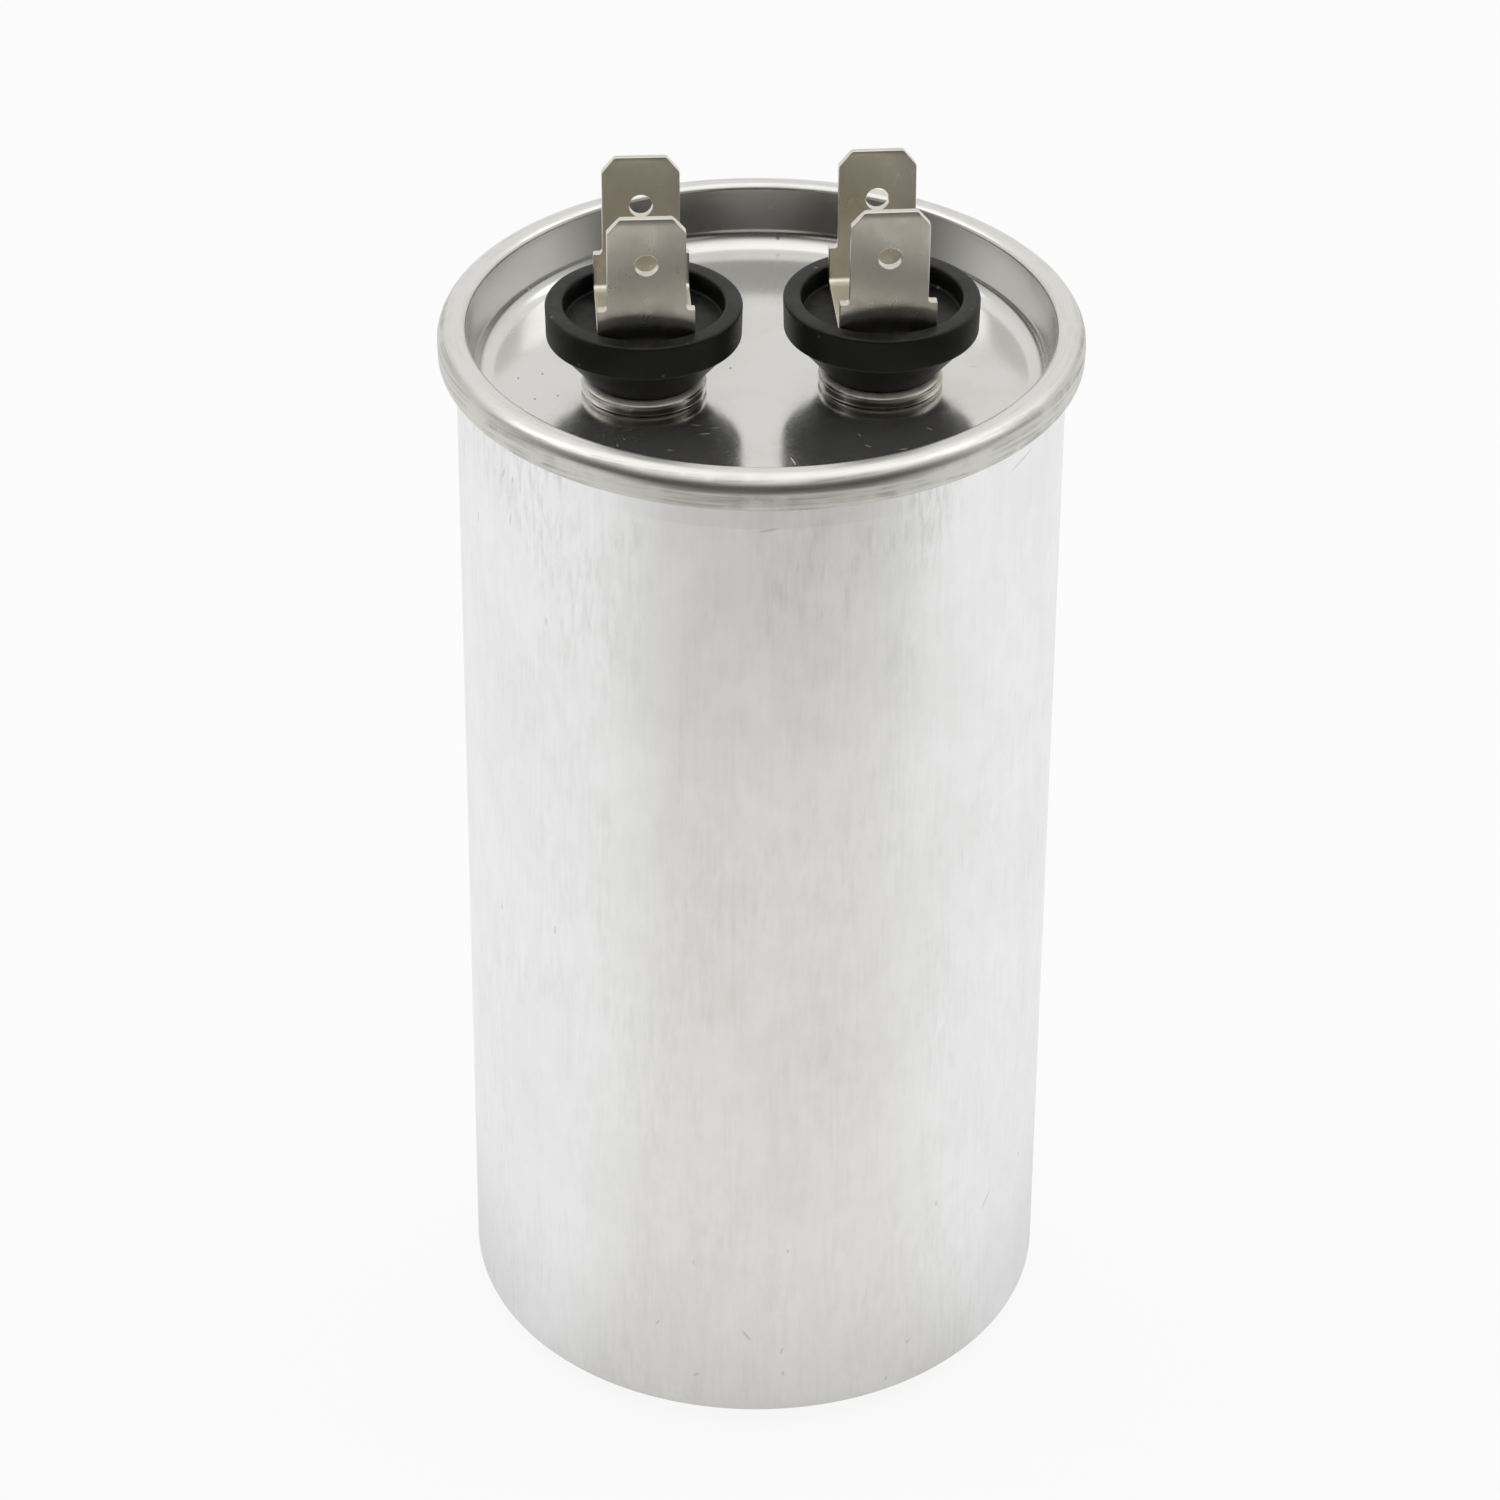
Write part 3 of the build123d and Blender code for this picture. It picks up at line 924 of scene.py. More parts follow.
@dataclass(frozen=True)
class BrightPlate:
    """Bright plating on the rolled eyelets, with warm tarnish patches, dusty on the crown, and painted shade
    in dark brown on the front below the crown.
    """

    bright: Colour = (0.82, 0.805, 0.765)
    warm: Colour = (0.62, 0.59, 0.53)
    # Dark brown of the painted shade on the eyelets' front.
    front_shade_brown: Colour = (0.12, 0.105, 0.08)
    tarnish_and_shade: Grain = Grain((700, 700, 500), 4, 0.6, band=(0.42, 0.68))
    swells: Grain = Grain((420, 420, 420), 2, shift=4.0)
    # Where the painted shade falls: on faces turned to the front, below the crown, in patches of the tarnish
    # noise.
    front: Point = (0.74, 0.93)
    below_crown: Point = (0.62, 0.35)
    front_shade_band: Point = (0.2, 0.5)
    front_shade_share: Point = (0.6, 0.95)
    crown: Point = (0.5, 0.9)
    dusty_crown: Point = (0.55, 0.9)
    roughness: Point = (0.15, 0.5)
    metallic: Point = (1.0, 0.35)
    tarnish_roughness: float = 0.1
    swell_depth: float = 0.02 * MM

    def material(self) -> bpy.types.Material:
        """Builds the material.

        Returns:
            The material.
        """
        mix = Recipe("bright_plate")
        facing = mix.facing()
        up, ahead = facing[2], mix.product(facing[1], -1.0)
        tarnish_and_shade = mix.noise(self.tarnish_and_shade)
        colour = mix.blend(mix.span(tarnish_and_shade, *self.tarnish_and_shade.band), self.bright, self.warm)
        # Painted shade: the front of each eyelet below its crown is painted dark brown in patches.
        front = mix.product(mix.span(ahead, *self.front), mix.span(up, *self.below_crown))
        front_shade = mix.product(front, mix.span(tarnish_and_shade, *self.front_shade_band, *self.front_shade_share))
        colour = mix.blend(front_shade, colour, self.front_shade_brown)
        rough = mix.plus(mix.span(up, *self.crown, *self.roughness), tarnish_and_shade, self.tarnish_roughness)
        metal = mix.span(up, *self.dusty_crown, *self.metallic)
        swell = mix.bump(mix.noise(self.swells), self.swell_depth)
        return mix.surface(Base_Color=colour, Metallic=metal, Roughness=rough, Normal=swell)


@dataclass(frozen=True)
class SatinNickel:
    """Warm grey nickel plate with a fine rolled grain and faint stains."""

    name: str = "satin_nickel"
    bright: Colour = (0.80, 0.765, 0.69)
    dull: Colour = (0.69, 0.655, 0.575)
    spotted: Colour = (0.16, 0.14, 0.12)
    grain: Grain = Grain((5200, 5200, 260), 3, 0.6)
    stains: Grain = Grain((520, 520, 430), 5, 0.62, 5.5, (0.3, 0.76))
    spots: Scatter = Scatter((1700, 1700, 1500), 0.16, 0.012, 3.3)
    stain_share: float = 0.6
    grain_share: float = 0.4
    spot_share: float = 0.55
    roughness: float = 0.24
    worn_roughness: float = 0.14
    grain_depth: float = 0.003 * MM
    stain_depth: float = 0.006 * MM

    def material(self) -> bpy.types.Material:
        """Builds the material.

        Returns:
            The material.
        """
        mix = Recipe(self.name)
        grain, stains = mix.noise(self.grain), mix.noise(self.stains)
        stained = mix.span(stains, *self.stains.band)
        tone = mix.plus(mix.product(grain, self.grain_share), stained, self.stain_share)
        colour = mix.blend(tone, self.bright, self.dull)
        colour = mix.blend(mix.product(mix.specks(self.spots), self.spot_share), colour, self.spotted)
        rough = mix.plus(self.roughness, tone, self.worn_roughness)
        relief = mix.bump(grain, self.grain_depth, mix.bump(stains, self.stain_depth))
        return mix.surface(Base_Color=colour, Metallic=1.0, Roughness=rough, Normal=relief)


@dataclass(frozen=True)
class InnerFinish:
    """Finish of a piece inside the can, by its colours, gloss and grain."""

    name: str
    light: Colour
    dark: Colour
    roughness: float
    stretch: tuple[float, float, float]
    depth: float
    metallic: float = 0.0
    grain: Grain = Grain((1, 1, 1), 4, 0.6, band=(0.35, 0.65))
    clouds: Grain = Grain((160, 160, 160), 4, shift=6.6)
    grain_share: float = 0.6
    cloud_share: float = 0.4
    gloss_swing: float = 0.2

    def material(self) -> bpy.types.Material:
        """Builds the material.

        Returns:
            The material.
        """
        mix = Recipe(self.name)
        grain = mix.noise(replace(self.grain, stretch=self.stretch))
        clouds = mix.noise(self.clouds)
        grained = mix.span(grain, *self.grain.band)
        tone = mix.plus(mix.product(clouds, self.cloud_share), grained, self.grain_share)
        rough = mix.plus(self.roughness - self.gloss_swing / 2, clouds, self.gloss_swing)
        return mix.surface(Base_Color=mix.blend(tone, self.light, self.dark), Metallic=self.metallic,
                           Roughness=rough, Normal=mix.bump(grain, self.depth))


# Sub-assemblies


@dataclass
class CanShell:
    """Drawn can whose rim is folded outwards and down as the body hook."""

    radius: float = 25.0 * MM
    sheet: float = 0.4 * MM
    corner: float = 2.9 * MM
    seam_height: float = 3.1 * MM
    tuck_drop: float = 2.2 * MM
    tuck_depth: float = 0.04 * MM
    tuck_bend: float = 3.0 * MM
    hook_reach: float = 1.02 * MM
    hook_top_drop: float = 0.87 * MM
    hook_length: float = 1.51 * MM
    turns: int = 256
    ring_gap: float = 6 * MM
    ripple_depth: float = 0.015 * MM
    ripple_top: float = 88 * MM
    ripple_fade: float = 6 * MM
    waves: tuple[tuple[float, int, float], ...] = ((1.0, 3, 40.0), (0.6, 7, -90.0))
    finish: DrawnAluminium = DrawnAluminium()

    def section(self, top: float) -> list[Vector]:
        """Section of the can.

        Args:
            top: Level of the seam's top.

        Returns:
            The closed outline as radius and height.
        """
        line = self.radius - self.sheet / 2
        seam = top - self.seam_height
        crest = top - self.hook_top_drop
        hook = line + self.hook_reach
        fold = (self.hook_reach + self.tuck_depth) / 2 * FOLD_SHARE
        corners = [
            (0.0, self.sheet / 2),
            (line, self.sheet / 2),
            (line, seam - self.tuck_drop),
            (line - self.tuck_depth, seam),
            (line - self.tuck_depth, crest),
            (hook, crest),
            (hook, crest - self.hook_length),
        ]
        bends = [self.corner - self.sheet / 2, self.tuck_bend, self.tuck_bend, fold, fold]
        return BentSheet(corners, bends, self.sheet).outline()

    def ripple(self, radius: float, height: float, angle: float) -> float:
        """Small change of radius that drawing leaves on the wall.

        Args:
            radius: Radius of the point.
            height: Height of the point.
            angle: Angle of the point round the axis, in radians.

        Returns:
            The change, which is zero or inwards.
        """
        from_ends = min(height - self.corner, self.ripple_top - height)
        if radius < self.radius - self.corner or from_ends < 0:
            return 0.0
        wave = sum(share * math.sin(count * angle + rise * height) for share, count, rise in self.waves)
        most = sum(share for share, _, _ in self.waves)
        return -self.ripple_depth * min(1.0, from_ends / self.ripple_fade) * (most - wave) / (2 * most)

    def build(self) -> None:
        """Builds and dresses the can."""
        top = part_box("lid")[1].z
        outline = []
        section = self.section(top)
        for i, point in enumerate(section):
            after = section[(i + 1) % len(section)]
            outline.append(point)
            run = after - point
            pieces = int(abs(run.y) / self.ring_gap)
            outline += [point + run * k / (pieces + 1) for k in range(1, pieces + 1)]
        piece = turned("can_shell", outline, self.turns, ripple=self.ripple)
        seat(piece, self.finish.material(), Slot.CAN, "can")


@dataclass
class SeamedLid:
    """Lid with a sunk panel and a rim rolled over the can's hook into a double seam."""

    sheet: float = 0.42 * MM
    panel_depth: float = 5.5 * MM
    panel_radius: float = 23.68 * MM
    panel_flat: float = 21.5 * MM
    panel_bend: float = 2.0 * MM
    wall_line: float = 24.32 * MM
    seam_line: float = 26.33 * MM
    foot_line: float = 26.25 * MM
    seam_height: float = 3.1 * MM
    inner_bend: float = 0.38 * MM
    outer_bend: float = 1.2 * MM
    cover_hook: float = 25.31 * MM
    cover_hook_drop: float = 1.44 * MM
    hole: float = 4.55 * MM
    turns: int = 256
    hole_turns: int = 64

    def section(self, top: float) -> list[Vector]:
        """Section of the lid outside the flat of its panel.

        Args:
            top: Level of the seam's top.

        Returns:
            The closed outline as radius and height.
        """
        half = self.sheet / 2
        panel = top - self.panel_depth - half
        foot = top - self.seam_height
        fold = (self.foot_line - self.cover_hook) / 2 * FOLD_SHARE
        corners = [
            (self.panel_flat, panel),
            (self.panel_radius, panel),
            (self.wall_line, top - half),
            (self.seam_line, top - half),
            (self.foot_line, foot + half),
            (self.cover_hook, foot + half),
            (self.cover_hook, top - self.cover_hook_drop),
        ]
        bends = [self.panel_bend, self.inner_bend, self.outer_bend, fold, fold]
        return BentSheet(corners, bends, self.sheet, step_deg=6.0).outline()

    def fill_panel(self, shape: bmesh.types.BMesh, ring: Sequence[Corner],
                   places: Sequence[Point]) -> list[list[Corner]]:
        """Fills one face of the panel inside a ring and leaves the holes open.

        Args:
            shape: The shape that takes the faces.
            ring: Corners of the panel's edge.
            places: Middles of the holes.

        Returns:
            The ring of corners round each hole.
        """
        level = ring[0].co.z
        loops = [[Vector(corner.co[:2]) for corner in ring]]
        loops += [circle(self.hole, self.hole_turns, place) for place in places]
        corners = list(ring)
        for loop in loops[1:]:
            corners += [shape.verts.new((*point, level)) for point in loop]
        for face in tile(loops, []):
            shape.faces.new([corners[i] for i in face])
        starts = range(len(ring), len(corners), self.hole_turns)
        return [corners[first:first + self.hole_turns] for first in starts]

    def build(self) -> None:
        """Builds and dresses the lid."""
        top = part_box("lid")[1].z
        shape = bmesh.new()
        rings = spin(shape, self.section(top), self.turns, (0.0, 0.0), open_gap=True)
        places = [centre_of(side) for side in Side]
        upper = self.fill_panel(shape, rings[0], places)
        lower = self.fill_panel(shape, rings[-1], places)
        for top_ring, under_ring in zip(upper, lower):
            bridge(shape, top_ring, under_ring)
        piece = finished_mesh("seamed_lid", shape, sharp_deg=32.0)
        bore = self.wall_line - self.sheet / 2
        finish = TinnedLid(self.panel_flat, bore, top - self.panel_depth, centre_of(Side.RIGHT))
        seat(piece, finish.material(), Slot.LID, "lid")


def centre_of(side: Side) -> Point:
    """Place of a terminal's axis.

    Args:
        side: The terminal's side.

    Returns:
        The middle of its bushing's box, along X and Y.
    """
    low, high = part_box(f"{side.value}_bushing")
    middle = (low + high) / 2
    return (middle.x, middle.y)


@dataclass
class Bushing:
    """Moulded cup on a tapered neck that passes through the lid."""

    cup_radius: float = 8.05 * MM
    cup_draft: float = 0.08 * MM
    cup_wall: float = 1.48 * MM
    cup_height: float = 3.0 * MM
    cup_depth: float = 1.7 * MM
    edge: float = 0.25 * MM
    floor_corner: float = 0.25 * MM
    cone_radius: float = 7.6 * MM
    cone_foot: float = 4.45 * MM
    cone_height: float = 3.7 * MM
    neck_radius: float = 4.05 * MM
    shank_hole: float = 1.7 * MM
    turns: int = 128
    finish: MouldedBlack = MouldedBlack()

    def build(self, side: Side) -> None:
        """Builds and dresses the bushing of one side.

        Args:
            side: The side that the piece stands on.
        """
        low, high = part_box(f"{side.value}_bushing")
        rim, floor, under = high.z, high.z - self.cup_depth, high.z - self.cup_height
        corners = [
            (self.shank_hole, low.z, 0.0),
            (self.neck_radius, low.z, self.edge / 2),
            (self.neck_radius, under - self.cone_height, 0.0),
            (self.cone_foot, under - self.cone_height, self.edge / 4),
            (self.cone_radius, under, self.edge / 4),
            (self.cup_radius - self.cup_draft, under, self.edge),
            (self.cup_radius, rim, self.edge),
            (self.cup_radius - self.cup_wall, rim, self.edge),
            (self.cup_radius - self.cup_wall, floor, self.floor_corner),
            (self.shank_hole, floor, 0.0),
        ]
        name = f"{side.value}_bushing_moulding"
        piece = turned(name, profile(corners), self.turns, centre_of(side), sharp_deg=40.0)
        seat(piece, self.finish.material(), Slot.BUSHING, f"{side.value}_bushing")


@dataclass
class Eyelet:
    """Eyelet with a flange under the lid and a rolled edge on its panel."""

    sheet: float = 0.3 * MM
    height: float = 1.3 * MM
    line: float = 4.3 * MM
    roll: float = 5.0 * MM
    curl: float = 0.2 * MM
    crown: float = 0.455 * MM
    curl_drop: float = 0.3 * MM
    curl_reach: float = 0.18 * MM
    turns: int = 128
    finish: BrightPlate = BrightPlate()

    def build(self, side: Side) -> None:
        """Builds and dresses the eyelet of one side.

        Args:
            side: The side that the piece stands on.
        """
        low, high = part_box(f"{side.value}_eyelet")
        half = self.sheet / 2
        panel = high.z - self.height
        flange = (high.x - low.x) / 2
        corners = [
            (flange, low.z + half),
            (self.line, low.z + half),
            (self.line, high.z - half),
            (self.roll, high.z - half),
            (self.roll, panel + self.curl_drop),
            (self.roll - self.curl_reach, panel + half),
        ]
        bends = [self.curl, self.curl, self.crown, self.curl]
        outline = BentSheet(corners, bends, self.sheet, step_deg=7.5).outline()
        piece = turned(f"{side.value}_rolled_eyelet", outline, self.turns, centre_of(side))
        seat(piece, self.finish.material(), Slot.EYELET, f"{side.value}_eyelet")


@dataclass
class FoldedTerminal:
    """One stamped strip, coined at both tips and folded into a U with two blades."""

    turn_deg: float
    sheet: float = 0.8 * MM
    width: float = 7.85 * MM
    bend: float = 0.9 * MM
    blade_width: float = 6.35 * MM
    blade_length: float = 8.4 * MM
    foot_half: float = 4.75 * MM
    splay: float = 0.7 * MM
    tip_trim: float = 0.01 * MM
    tip_width: float = 4.2 * MM
    tip_slope: float = 1.3 * MM
    tip_round: float = 0.35 * MM
    coin_length: float = 0.55 * MM
    coin_depth: float = 0.125 * MM
    shoulder_round: float = 0.15 * MM
    root_round: float = 0.3 * MM
    detent: float = 0.95 * MM
    detent_drop: float = 4.2 * MM
    shank_hole: float = 1.7 * MM
    edge: float = 0.07 * MM
    edge_angles_deg: tuple[float, ...] = (0, 30, 60, 90)
    bend_steps: int = 12
    detent_turns: int = 40
    hole_turns: int = 48
    finish: SatinNickel = SatinNickel()

    def fold_line(self, low: float, high: float) -> list[Vector]:
        """Mid line of the folded strip.

        Args:
            low: Level of the strip's underside.
            high: Level of its tips.

        Returns:
            The line from one tip to the other, as depth and height.
        """
        middle = low + self.sheet / 2
        head = self.foot_half + self.splay
        tip = high - self.tip_trim
        corners = [(-head, tip), (-self.foot_half, middle), (self.foot_half, middle), (head, tip)]
        step = math.pi / 2 / self.bend_steps
        return rounded([Vector(corner) for corner in corners], [self.bend] * 2, step, closed=False)

    def blank(self, stations: Sequence[float]) -> tuple[list[Vector], list[tuple[int, int]]]:
        """Outline of the flat blank, across and along, and the lines that cross it.

        Args:
            stations: Distances along the strip of each point of its fold line.

        Returns:
            The outline, counter-clockwise, and pairs of its points at equal distances.
        """
        length = stations[-1]
        root, blade, tip = self.width / 2, self.blade_width / 2, self.tip_width / 2
        coin = tip + (blade - tip) * self.coin_length / self.tip_slope
        corners = [
            (tip, 0.0, self.tip_round),
            (coin, self.coin_length, 0.0),
            (blade, self.tip_slope, self.tip_round),
            (blade, self.blade_length, self.root_round),
            (root, self.blade_length, self.shoulder_round),
        ]
        inner = list(stations[1:-1])
        right = corners + [(root, station, 0.0) for station in inner]
        right += [(x, length - s, bend) for x, s, bend in reversed(corners)]
        left = [(-x, s, bend) for x, s, bend in reversed(right)]
        loop = profile(right + left, step_deg=15.0)
        chords = []
        for crossing in (self.coin_length, *inner, length - self.coin_length):
            at = [i for i, point in enumerate(loop) if abs(point.y - crossing) < SAME and abs(point.x) > tip]
            chords.append((at[0], at[-1]))
        return loop, chords

    def build(self, side: Side) -> None:
        """Builds and dresses the terminal of one side.

        Args:
            side: The side that the piece stands on.
        """
        low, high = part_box(f"{side.value}_terminal")
        line = self.fold_line(low.z, high.z)
        stations = [0.0]
        for a, b in zip(line, line[1:]):
            stations.append(stations[-1] + (b - a).length)
        length = stations[-1]
        normals = []
        for i in range(len(line)):
            run = (line[min(i + 1, len(line) - 1)] - line[max(i - 1, 0)]).normalized()
            normals.append(Vector((-run.y, run.x)))
        normals[1] = normals[0]
        normals[-2] = normals[-1]
        axis = Vector((*centre_of(side), 0.0))
        turn = Matrix.Rotation(math.radians(self.turn_deg), 3, "Z")

        def place(across: float, along: float, rise: float) -> Vector:
            """Moves a point of the flat blank to the folded strip.

            Args:
                across: Distance from the blank's mid line.
                along: Distance from its first tip.
                rise: Distance above its middle layer.

            Returns:
                The place on the folded strip.
            """
            k = max(i for i in range(len(stations) - 1) if stations[i] <= along + SAME or i == 0)
            share = (along - stations[k]) / (stations[k + 1] - stations[k])
            middle = line[k].lerp(line[k + 1], share)
            normal = normals[k].lerp(normals[k + 1], min(1.0, max(0.0, share))).normalized()
            point = middle + normal * rise
            return turn @ Vector((across, point.x, point.y)) + axis

        def half(along: float) -> float:
            """Half the thickness, less near a coined tip."""
            from_tip = min(along, length - along)
            return self.sheet / 2 - self.coin_depth * max(0.0, 1 - from_tip / self.coin_length)

        loop, chords = self.blank(stations)
        holes = [
            circle(self.detent, self.detent_turns, (0.0, self.detent_drop)),
            circle(self.detent, self.detent_turns, (0.0, length - self.detent_drop)),
            circle(self.shank_hole, self.hole_turns, (0.0, length / 2)),
        ]
        shape = bmesh.new()
        self.stamp(shape, [loop, *holes], chords, place, half)
        piece = finished_mesh(f"{side.value}_folded_terminal", shape, sharp_deg=14.0)
        seat(piece, self.finish.material(), Slot.TERMINAL, f"{side.value}_terminal")

    def stamp(self, shape: bmesh.types.BMesh, loops: Sequence[Sequence[Vector]],
              chords: Sequence[tuple[int, int]], place: Placing, half: Callable[[float], float]) -> None:
        """Adds the strip's two faces and its rounded cut edges.

        Args:
            shape: The shape that takes the faces.
            loops: The blank's outline, then its holes.
            chords: Lines across the outline.
            place: Moves a point of the blank to the folded strip.
            half: Half the thickness by distance along the strip.
        """
        angles = [math.radians(angle) for angle in self.edge_angles_deg]
        section = [(self.edge * (1 - math.sin(a)), self.edge * (1 - math.cos(a)), 1) for a in angles]
        section += [(depth, drop, -1) for depth, drop, _ in reversed(section)]
        upper, lower = [], []
        for k, loop in enumerate(loops):
            rows = []
            for depth, drop, sign in section:
                moved = inset(loop, depth, hole=k > 0)
                places = [place(p.x, p.y, sign * (half(p.y) - drop)) for p in moved]
                rows.append([shape.verts.new(spot) for spot in places])
            for row, after in zip(rows, rows[1:]):
                bridge(shape, row, after)
            upper += rows[0]
            lower += rows[-1]
        faces = tile([inset(loop, self.edge, hole=k > 0) for k, loop in enumerate(loops)], chords)
        for corners in (upper, lower):
            for face in faces:
                shape.faces.new([corners[i] for i in face])


@dataclass
class Rivet:
    """Rivet with a domed head on the terminal's base and a formed tail under the lug."""

    shank: float = 1.6 * MM
    head: float = 0.9 * MM
    head_round: float = 0.5 * MM
    tail_radius: float = 2.4 * MM
    tail: float = 0.8 * MM
    tail_round: float = 0.3 * MM
    dish_radius: float = 1.3 * MM
    dish_floor: float = 0.91 * MM
    dish_depth: float = 0.12 * MM
    turns: int = 96
    finish: SatinNickel = SatinNickel("rivet_plate", (0.66, 0.63, 0.57), (0.5, 0.47, 0.42))

    def build(self, side: Side) -> None:
        """Builds and dresses the rivet of one side.

        Args:
            side: The side that the piece stands on.
        """
        low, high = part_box(f"{side.value}_rivet")
        head = (high.x - low.x) / 2
        corners = [
            (0.0, low.z, 0.0),
            (self.tail_radius, low.z, self.tail_round),
            (self.tail_radius, low.z + self.tail, 0.0),
            (self.shank, low.z + self.tail, 0.0),
            (self.shank, high.z - self.head, 0.0),
            (head, high.z - self.head, 0.0),
            (head, high.z, self.head_round),
            (self.dish_radius, high.z, self.dish_depth),
            (self.dish_floor, high.z - self.dish_depth, self.dish_depth),
            (0.0, high.z - self.dish_depth, 0.0),
        ]
        piece = turned(f"{side.value}_rivet_head", profile(corners), self.turns, centre_of(side))
        seat(piece, self.finish.material(), Slot.RIVET, f"{side.value}_rivet")


def both(part: str) -> list[str]:
    """Nodes of a part that is there once for each side."""
    return [f"{side.value}_{part}" for side in Side]


@dataclass
class WoundElement:
    """Everything that the closed can holds, which keeps its own shapes and takes its finishes."""

    plastic: InnerFinish = InnerFinish("natural_plastic", (0.78, 0.76, 0.69), (0.70, 0.68, 0.60), 0.45,
                                       (900, 900, 900), 0.01 * MM)
    brass: InnerFinish = InnerFinish("tinned_brass", (0.72, 0.64, 0.42), (0.60, 0.52, 0.33), 0.3,
                                     (3000, 500, 500), 0.004 * MM, 1.0)
    sleeve: InnerFinish = InnerFinish("lead_sleeve", (0.26, 0.26, 0.28), (0.18, 0.18, 0.20), 0.5,
                                      (2200, 2200, 500), 0.01 * MM)
    film: InnerFinish = InnerFinish("film_roll", (0.70, 0.71, 0.72), (0.58, 0.59, 0.61), 0.25,
                                    (300, 300, 2500), 0.01 * MM, 1.0)
    zinc: InnerFinish = InnerFinish("sprayed_zinc", (0.56, 0.56, 0.56), (0.40, 0.40, 0.41), 0.7,
                                    (1600, 1600, 1600), 0.12 * MM, 1.0)
    wrap: InnerFinish = InnerFinish("wrap_film", (0.86, 0.85, 0.78), (0.78, 0.77, 0.70), 0.2,
                                    (60, 60, 700), 0.02 * MM)
    compound: InnerFinish = InnerFinish("seam_compound", (0.22, 0.22, 0.22), (0.15, 0.15, 0.15), 0.7,
                                        (1200, 1200, 1200), 0.02 * MM)

    def dress(self) -> None:
        """Gives every inner node its finish."""
        worn = {
            self.plastic: [*both("lower_insulator"), "core_tube", "interrupter_disc", "bottom_cup"],
            self.brass: both("lug"),
            self.sleeve: both("lead"),
            self.film: ["winding"],
            self.zinc: ["top_end_spray", "bottom_end_spray"],
            self.wrap: ["winding_wrap"],
            self.compound: ["seam_seal"],
        }
        for finish, names in worn.items():
            material = finish.material()
            for name in names:
                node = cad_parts[name]
                node.data.materials.clear()
                node.data.materials.append(material)
                log.info("dressed %s in %s", name, finish.name)


# Studio


@dataclass(frozen=True)
class PhotoCamera:
    """Camera at the photograph's place, with its lens and small tilts."""

    target: tuple[float, float, float] = (0.0, 0.0, 47.745 * MM)
    distance: float = 470.416 * MM
    azimuth_deg: float = -4.64
    elevation_deg: float = 33.251
    roll_deg: float = 0.469
    frame_pixels: float = 1500.0
    focal_pixels: float = 5448.79
    target_pixel: Point = (757.68, 807.87)
    sensor_mm: float = 36.0
    clip: Point = (0.01, 20.0)

    def build(self) -> None:
        """Makes the camera and sets it as the scene's."""
        data = bpy.data.cameras.new("photo_camera")
        data.sensor_width = self.sensor_mm
        data.lens = self.focal_pixels * self.sensor_mm / self.frame_pixels
        data.clip_start, data.clip_end = self.clip
        camera = bpy.data.objects.new("photo_camera", data)
        azimuth, elevation = math.radians(self.azimuth_deg), math.radians(self.elevation_deg)
        middle = self.frame_pixels / 2
        yaw = math.atan2(self.target_pixel[0] - middle, self.focal_pixels)
        pitch = math.atan2(self.target_pixel[1] - middle, self.focal_pixels)
        aim = Matrix.Rotation(azimuth, 3, "Z") @ Matrix.Rotation(math.pi / 2 - elevation, 3, "X")
        tilt = Matrix.Rotation(math.radians(self.roll_deg), 3, "Z") @ Matrix.Rotation(yaw, 3, "Y")
        turn = aim @ tilt @ Matrix.Rotation(pitch, 3, "X")
        place = Vector(self.target) + aim @ Vector((0.0, 0.0, self.distance))
        camera.matrix_world = Matrix.Translation(place) @ turn.to_4x4()
        bpy.context.scene.collection.objects.link(camera)
        bpy.context.scene.camera = camera


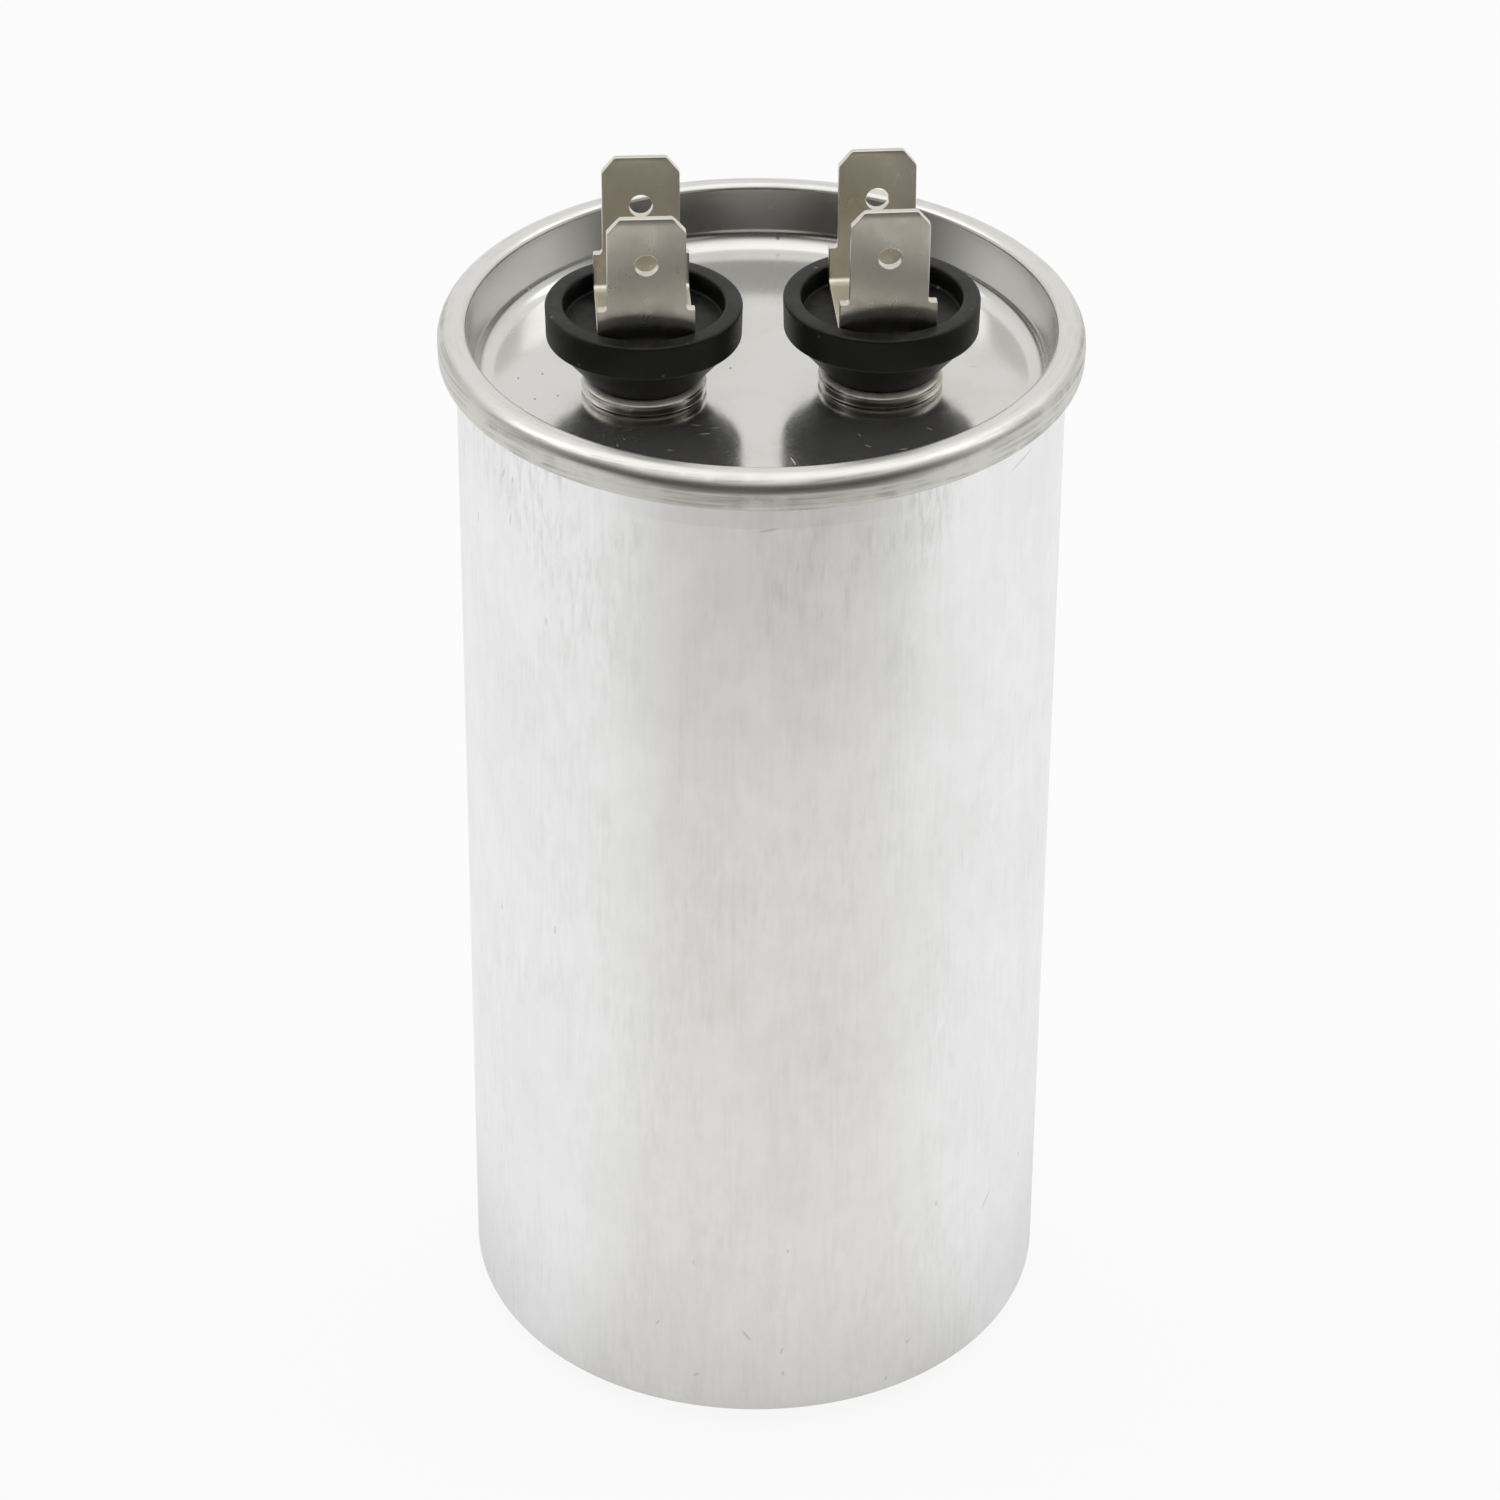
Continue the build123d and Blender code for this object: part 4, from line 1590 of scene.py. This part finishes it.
@dataclass(frozen=True)
class Studio:
    """White floor and soft light, darker towards the photographer, with painted shade in the floor's glow
    seen in mirrors.
    """

    white: Colour = (1.0, 1.0, 1.0)
    floor_radius: float = 3.0
    floor_segments: int = 96
    floor_colour: Colour = (0.82, 0.82, 0.82)
    shadow_share: float = 0.12
    mirror_share: float = 0.88
    # Glow of the floor in mirrors, with painted shade towards the front and a painted contact shadow at the
    # can's foot.
    shaded_front_floor: Colour = (0.81, 0.80, 0.775)
    side_floor: Colour = (0.94, 0.945, 0.955)
    front_sector: Point = (0.45, 0.9)
    floor_reach: Point = (0.15, 0.31)
    floor_far: float = 0.12
    foot_shadow_reach: Point = (0.025, 0.046)
    foot_shadow_level: float = 0.8
    tent: Colour = (1.0, 0.995, 0.98)
    tent_heights: Point = (0.6, 0.97)
    tent_levels: Point = (0.82, 1.2)
    dark: float = 0.08
    dark_top_deg: Point = (27.0, 56.0)
    dark_side_deg: Point = (48.0, 105.0)
    dark_turn_deg: float = 8.0
    lamp_power: float = 0.6
    lamp_size: float = 0.5
    lamp_place: tuple[float, float, float] = (0.7, 0.15, 0.8)
    lamp_aim: float = 0.06

    def floor(self) -> None:
        """Lays the floor, which shows white and keeps the object's shadow."""
        shape = bmesh.new()
        bmesh.ops.create_circle(shape, cap_ends=True, segments=self.floor_segments, radius=self.floor_radius)
        mesh = bpy.data.meshes.new("studio_floor")
        shape.to_mesh(mesh)
        shape.free()
        ground = bpy.data.objects.new("studio_floor", mesh)
        bpy.context.scene.collection.objects.link(ground)
        mesh.materials.append(self.paper())

    def paper(self) -> bpy.types.Material:
        """Material of the floor: white to the camera and plain where shadows fall; in mirrors it glows with
        painted shade, darker towards the front, and with a painted contact shadow round the can's foot.
        """
        mix = Recipe("floor_paper")
        sector = mix.span(mix.along(mix.vector("NORMALIZE", mix.place), FRONT), *self.front_sector)
        distance = mix.length(mix.place)
        # Painted shade in the mirror glow: darker far out in front, and a painted contact shadow near the
        # can's foot.
        far_front_shade = mix.product(mix.span(distance, *self.floor_reach), sector, 1 - self.floor_far)
        near = mix.span(distance, *self.foot_shadow_reach, self.foot_shadow_level)
        tone = mix.blend(sector, self.side_floor, self.shaded_front_floor)
        shaded_mirror_glow = mix.glow("ShaderNodeEmission", tone, mix.math("SUBTRACT", near, far_front_shade))
        mix.surface(Base_Color=self.floor_colour, Roughness=1.0, Specular_IOR_Level=0.0)
        share = mix.product(mix.rays("Is Camera Ray", "Is Transmission Ray"), 1 - self.shadow_share)
        shown = mix.merge(share, mix.shader.outputs[0], mix.glow("ShaderNodeEmission", self.white))
        mirrored = mix.merge(mix.product(mix.rays("Is Glossy Ray"), self.mirror_share), shown, shaded_mirror_glow)
        mix.feed(mix.tree.nodes["Material Output"].inputs["Surface"], mirrored)
        return mix.material

    def sky(self) -> None:
        """Surrounds the object with a white tent that is open towards the photographer."""
        world = bpy.data.worlds.new("studio_tent")
        world.use_nodes = True
        world.node_tree.nodes.clear()
        bpy.context.scene.world = world
        mix = Graph(world.node_tree, "Generated")
        direction = mix.vector("NORMALIZE", mix.place)
        height = mix.parts(direction)[2]
        level = mix.span(height, *self.tent_heights, *self.tent_levels)
        bearing = mix.vector("NORMALIZE", mix.vector("MULTIPLY", direction, (1.0, 1.0, 0.0)))
        turn = math.radians(self.dark_turn_deg)
        ahead = mix.along(bearing, (-math.sin(turn), -math.cos(turn), 0.0))
        inner, outer = (math.cos(math.radians(angle)) for angle in self.dark_side_deg)
        low, high = (math.sin(math.radians(angle)) for angle in self.dark_top_deg)
        opening = mix.product(mix.span(ahead, outer, inner), mix.span(height, low, high, 1.0, 0.0))
        level = mix.math("ADD", mix.product(opening, mix.math("SUBTRACT", self.dark, level)), level)
        tent = mix.glow("ShaderNodeBackground", self.tent, level)
        paper = mix.glow("ShaderNodeBackground", self.white)
        shown = mix.merge(mix.rays("Is Camera Ray", "Is Transmission Ray"), tent, paper)
        mix.feed(mix.node("ShaderNodeOutputWorld").inputs["Surface"], shown)

    def lamp(self, name: str, side: int) -> None:
        """Hangs one soft lamp that looks at the can.

        Args:
            name: Name of the lamp.
            side: One for a lamp on the right and minus one for a lamp on the left.
        """
        data = bpy.data.lights.new(name, "AREA")
        data.shape = "DISK"
        data.size = self.lamp_size
        data.energy = self.lamp_power
        lamp = bpy.data.objects.new(name, data)
        lamp.location = (self.lamp_place[0] * side, *self.lamp_place[1:])
        aim = UP * self.lamp_aim - lamp.location
        lamp.rotation_euler = aim.to_track_quat("-Z", "Y").to_euler()
        bpy.context.scene.collection.objects.link(lamp)

    def build(self) -> None:
        """Sets up the floor, the surroundings and the lamps."""
        bpy.context.scene.view_settings.view_transform = "Standard"
        self.floor()
        self.sky()
        self.lamp("left_soft_lamp", -1)
        self.lamp("right_soft_lamp", 1)


@dataclass
class Capacitor:
    """The whole part, one sub-assembly after the other."""

    can: CanShell = field(default_factory=CanShell)
    lid: SeamedLid = field(default_factory=SeamedLid)
    bushing: Bushing = field(default_factory=Bushing)
    eyelet: Eyelet = field(default_factory=Eyelet)
    rivet: Rivet = field(default_factory=Rivet)
    turns_deg: dict[Side, float] = field(default_factory=lambda: {Side.LEFT: -0.9, Side.RIGHT: 0.3})
    inside: WoundElement = field(default_factory=WoundElement)

    def build(self) -> None:
        """Builds every visible piece and dresses the inner ones."""
        self.can.build()
        self.lid.build()
        for side in Side:
            self.bushing.build(side)
            self.eyelet.build(side)
            FoldedTerminal(self.turns_deg[side]).build(side)
            self.rivet.build(side)
        self.inside.dress()


def main() -> None:
    """Builds the studio and the capacitor."""
    logging.basicConfig(level=logging.INFO, format="%(name)s: %(message)s")
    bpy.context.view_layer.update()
    PhotoCamera().build()
    Studio().build()
    Capacitor().build()
    log.info("all pieces are in place")


if __name__ == "__main__":
    main()
